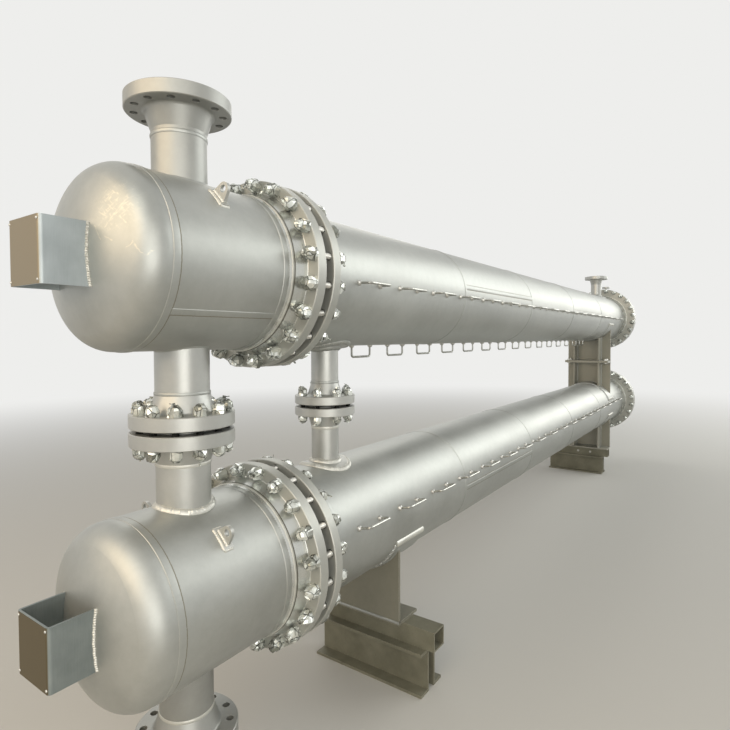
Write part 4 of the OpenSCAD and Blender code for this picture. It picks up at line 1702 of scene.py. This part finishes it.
@dataclass
class Stack:
    """The two vessels with what joins and carries them.

    Attributes:
        pad: Diameter of the pads under the shell's nozzles.
        wrap_half: Half length of a saddle's wrap plate.
        face: Height of a raised face.
        saddle_hole_in: Distance of the saddles' bolts from the edges of their base.
        stand_bolts: Y of the two bolts on the front of the far tube.
    """

    pad: float = 262.0
    wrap_half: float = 150.0
    face: float = 7.0
    saddle_hole_in: float = 42.0
    stand_bolts: Span = (-60.0, 110.0)
    stand_bolt_flats: float = 30.0
    stand_bolt_head: float = 14.0

    def build(self) -> None:
        """Makes both vessels, the links, the saddles and the bolts, and dresses the CAD nodes."""
        pad_half = self.pad / 2
        upper = Vessel(
            Level.UPPER, -35.7, (1670.0, 3090.0, 4550.0, 6000.0), (150.0, 8.6, 165.0, -0.5, 140.0),
            ((557.0, pad_half), (6743.0, self.wrap_half)), -3.7,
        )
        lower = Vessel(
            Level.LOWER, -61.0, (1680.0, 3110.0, 4556.0, 6000.0), (150.0, -3.2, 165.0, 8.0, 140.0),
            ((950.0, self.wrap_half), (6743.0, self.wrap_half), (7270.0, pad_half)), 11.7,
        )
        for vessel in (upper, lower):
            vessel.build()
        self.build_nozzle_welds(upper, lower)
        self.build_link("channel_link", CHANNEL_NOZZLE)
        self.build_link("shell_link", SHELL_NOZZLE)
        for saddle in (
            Saddle("near_saddle", lower, -1, -1, wrap_half_deg=65.5), Saddle("far_saddle", lower, -1, 1),
            Saddle("upper_middle_saddle", upper, -1, 1), Saddle("lower_middle_saddle", lower, 1, 1),
        ):
            saddle.build()
        self.build_saddle_bolts()
        self.build_stand_bolts()
        for name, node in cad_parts.items():
            finish = next(finish for word, finish in NODE_FINISHES if word in name)
            node.data.materials.clear()
            node.data.materials.append(finish.material())

    def build_nozzle_welds(self, upper: Vessel, lower: Vessel) -> None:
        """Lays the welds of all nozzles, rough on the lower vessel and smooth on the upper one.

        Args:
            upper: The upper vessel.
            lower: The lower vessel.
        """
        rough = Shape()
        smooth = Shape()
        for vessel, shape, foot, seed in (
            (upper, smooth, SMOOTH_FILLET, 100), (lower, rough, FOOT_FILLET, 120),
        ):
            x = vessel.at(-vessel.channel_nozzle_back)
            for side in (-1, 1):
                neck = NozzleNeck(
                    vessel.channel, x, side, CHANNEL_NOZZLE.pipe, CHANNEL_NOZZLE.neck, foot,
                )
                neck.lay(shape, seed + 5 * side)
        for i, (vessel, shape, node, side) in enumerate((
            (upper, smooth, "upper_shell_link_nozzle", -1), (upper, smooth, "shell_top_nozzle", 1),
            (lower, rough, "lower_shell_link_nozzle", 1), (lower, rough, "shell_bottom_nozzle", -1),
        )):
            low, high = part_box(node)
            neck = NozzleNeck(
                vessel.shell, (low.x + high.x) / 2, side, SHELL_NOZZLE.pipe, SHELL_NOZZLE.neck, pad=self.pad,
            )
            neck.lay(shape, 160 + 10 * i)
        rough.piece("lower_nozzle_welds", WELD_PAINT)
        smooth.piece("upper_nozzle_welds", SHELL_PAINT)

    def build_link(self, name: str, size: NozzleSize) -> None:
        """Makes the studs of two linked nozzles, between the upper and the lower exchanger, near black as
        painted shade.

        Args:
            name: Name of the link.
            size: Its nozzles.
        """
        low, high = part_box(f"{name}_gasket")
        outside = (size.flange + self.face) * MM
        grip = high.z - low.z + 2 * outside
        centre = Vector(((low.x + high.x) / 2, 0, low.z - outside))
        flange = size.flange * MM
        # The studs take the near-black gasket finish, as painted shade in the narrow gap between the flanges
        StudCircle(
            name, centre, Z_AXIS, X_AXIS, grip, size.stud, size.pitch_circle, size.bolts,
            (flange, grip - flange), GRAPHITE_AND_GAP_SHADE,
        ).build()

    def build_saddle_bolts(self) -> None:
        """Makes the four bolts that join the two middle saddles."""
        low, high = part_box("lower_middle_saddle")
        rods = Shape()
        nuts = Shape()
        reach_x = (Saddle.base_length / 2 - self.saddle_hole_in) * MM
        reach_y = (Saddle.width / 2 - self.saddle_hole_in) * MM
        for x in (-reach_x, reach_x):
            for y in (-reach_y, reach_y):
                place = Vector(((low.x + high.x) / 2 + x, y, high.z))
                hexagon_bolt(rods, nuts, place, Z_AXIS, 2 * Saddle.base_thickness * MM, SADDLE_BOLT)
        rods.piece("middle_saddle_bolts", BRIGHT_ROD, Slot.MACHINED_STEEL)
        nuts.piece("middle_saddle_nuts", BRIGHT_ROD, Slot.MACHINED_STEEL, NUT_CREASE_DEG)

    def build_stand_bolts(self) -> None:
        """Makes the two bolt heads on the front of the far tube."""
        low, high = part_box("far_stand_tube")
        heads = Shape()
        for y in self.stand_bolts:
            place = Vector((low.x, y * MM, (low.z + high.z) / 2))
            hexagon_nut(heads, place, -X_AXIS, Z_AXIS, self.stand_bolt_flats, self.stand_bolt_head)
        heads.piece("far_stand_bolt_heads", BRIGHT_ROD, Slot.MACHINED_STEEL, NUT_CREASE_DEG)


# Studio


@dataclass(frozen=True)
class PhotoView:
    """The camera at the photograph's place, in the stack's own frame.

    Attributes:
        place: Where the lens is, in metres.
        yaw_deg: Heading from +X towards +Y.
        pitch_deg: How far it looks down.
        roll_deg: How far it is turned about its own axis.
        focal_px: Focal length in pixels of the square image.
        centre_px: Row of the optical axis in that image.
        image_px: Width and height of the image.
    """

    place: Place = (-5.366, -1.887, 2.016)
    yaw_deg: float = 35.232
    pitch_deg: float = 1.637
    roll_deg: float = 0.236
    focal_px: float = 533.27
    centre_px: float = 353.19
    image_px: float = 730.0
    sensor_mm: float = 36.0
    clip_end: float = 200.0

    def build(self) -> None:
        """Makes the camera and gives it to the scene."""
        lens = bpy.data.cameras.new("photo_view")
        lens.sensor_width = self.sensor_mm
        lens.lens = self.sensor_mm * self.focal_px / self.image_px
        lens.shift_y = (self.centre_px - self.image_px / 2) / self.image_px
        lens.clip_end = self.clip_end
        camera = bpy.data.objects.new("photo_view", lens)
        heading = Matrix.Rotation(math.radians(self.yaw_deg - 90), 4, "Z")
        tilt = Matrix.Rotation(math.radians(90 - self.pitch_deg), 4, "X")
        roll = Matrix.Rotation(math.radians(-self.roll_deg), 4, "Z")
        camera.matrix_world = Matrix.Translation(self.place) @ heading @ tilt @ roll
        bpy.context.scene.collection.objects.link(camera)
        bpy.context.scene.camera = camera


@dataclass(frozen=True)
class SoftLamp:
    """A large soft lamp that points at a place on the stack; its sizes are metres."""

    name: str
    place: Place
    target: Place
    size: Span
    watts: float
    colour: str

    def build(self) -> None:
        """Makes the lamp."""
        light = bpy.data.lights.new(self.name, "AREA")
        light.shape = "RECTANGLE"
        light.size, light.size_y = self.size
        light.energy = self.watts
        light.color = linear(self.colour)[:3]
        lamp = bpy.data.objects.new(self.name, light)
        aim = (Vector(self.target) - Vector(self.place)).to_track_quat("-Z", "Y")
        lamp.matrix_world = Matrix.Translation(self.place) @ aim.to_matrix().to_4x4()
        lamp.visible_camera = False
        bpy.context.scene.collection.objects.link(lamp)


def seen_directly(tree: Tree) -> Socket:
    """Finds the rays that show the backdrop itself.

    Args:
        tree: Tree of the floor's material or of the world.

    Returns:
        1 where the camera, or something shiny or clear, looks at the backdrop.
    """
    path = add_node(tree, "LightPath")
    seen = path["Is Camera Ray"]
    for other in ("Is Glossy Ray", "Is Transmission Ray"):
        seen = add_node(tree, "Math", {0: seen, 1: path[other]}, operation="MAXIMUM")[0]
    return seen


@dataclass
class Studio:
    """The pale floor, the white background, the soft lamps and the camera; its sizes are metres.

    Attributes:
        floor_size: Width and length of the floor.
        seen_colour: Colour of the background where it is seen directly.
        world_light: Strength of the soft light from all round.
        fade_start: Distance at which the floor starts to turn into the background.
        fade_end: Distance at which it has done so.
    """

    floor_size: float = 120.0
    floor_colour: str = "#CDCCC7"
    floor_roughness: float = 0.9
    seen_colour: str = "#EEEEEC"
    world_light: float = 0.33
    fade_start: float = 4.0
    fade_end: float = 18.0
    lamps: tuple[SoftLamp, ...] = (
        SoftLamp("window_lamp", (9.0, -7.5, 7.5), (-1.5, 0.0, 1.6), (11.0, 6.0), 600.0, "#FDFFFB"),
        SoftLamp("far_lamp", (17.0, -3.6, 4.2), (0.0, 0.0, 1.8), (7.0, 4.0), 240.0, "#FFFDF6"),
        SoftLamp("roof_lamp", (5.0, 7.5, 8.5), (-2.8, 0.0, 2.0), (9.0, 5.0), 210.0, "#FFFCF4"),
        SoftLamp("side_lamp", (-9.0, -7.5, 4.6), (-3.6, 0.0, 1.9), (9.0, 6.0), 240.0, "#FFFBF2"),
        SoftLamp("low_lamp", (-8.5, -8.5, 1.3), (-3.6, 0.0, 1.5), (6.0, 2.0), 150.0, "#FFFDF8"),
        SoftLamp("high_lamp", (-8.0, -2.0, 7.0), (-4.0, 0.0, 2.2), (4.0, 4.0), 60.0, "#FFFFF8"),
        SoftLamp("warm_end_lamp", (-9.9, 0.6, 5.1), (-4.0, 0.0, 1.8), (8.0, 5.0), 290.0, "#FFE4BE"),
    )

    def build(self) -> None:
        """Makes the studio."""
        self.build_floor()
        self.build_world()
        for lamp in self.lamps:
            lamp.build()
        PhotoView().build()
        bpy.context.scene.view_settings.view_transform = "Standard"

    def build_floor(self) -> None:
        """Makes the plain pale floor."""
        half = self.floor_size / 2
        mesh = bpy.data.meshes.new("studio_floor")
        corners = [(-half, -half, 0), (half, -half, 0), (half, half, 0), (-half, half, 0)]
        mesh.from_pydata(corners, [], [(0, 1, 2, 3)])
        material = bpy.data.materials.new("matt_floor")
        material.use_nodes = True
        tree = material.node_tree
        shader = tree.nodes["Principled BSDF"]
        shader.inputs["Base Color"].default_value = linear(self.floor_colour)
        shader.inputs["Roughness"].default_value = self.floor_roughness
        place = add_node(tree, "NewGeometry")["Position"]
        away = add_node(tree, "VectorMath", {0: place}, operation="LENGTH")["Value"]
        distant = add_node(tree, "MapRange", {
            "Value": away, "From Min": self.fade_start, "From Max": self.fade_end,
        }, interpolation_type="SMOOTHSTEP")[0]
        share = add_node(tree, "Math", {0: distant, 1: seen_directly(tree)}, operation="MULTIPLY")[0]
        pale = add_node(tree, "Emission", {"Color": linear(self.seen_colour)})[0]
        both = add_node(tree, "MixShader", {0: share, 1: shader.outputs[0], 2: pale})[0]
        tree.links.new(both, tree.nodes["Material Output"].inputs["Surface"])
        mesh.materials.append(material)
        floor = bpy.data.objects.new("studio_floor", mesh)
        bpy.context.scene.collection.objects.link(floor)

    def build_world(self) -> None:
        """Makes the soft light, and the white that the camera and shiny surfaces see."""
        world = bpy.data.worlds.new("studio_world")
        bpy.context.scene.world = world
        world.use_nodes = True
        tree = world.node_tree
        tree.nodes.clear()
        soft, pale = (
            add_node(tree, "Background", {"Color": linear(colour), "Strength": strength})[0]
            for colour, strength in (("#FFFFFF", self.world_light), (self.seen_colour, 1.0))
        )
        both = add_node(tree, "MixShader", {0: seen_directly(tree), 1: soft, 2: pale})[0]
        add_node(tree, "OutputWorld", {"Surface": both})


def main() -> None:
    """Builds the studio and the stack."""
    logging.basicConfig(level=logging.INFO, format="%(name)s: %(message)s")
    Studio().build()
    Stack().build()


if __name__ == "__main__":
    main()
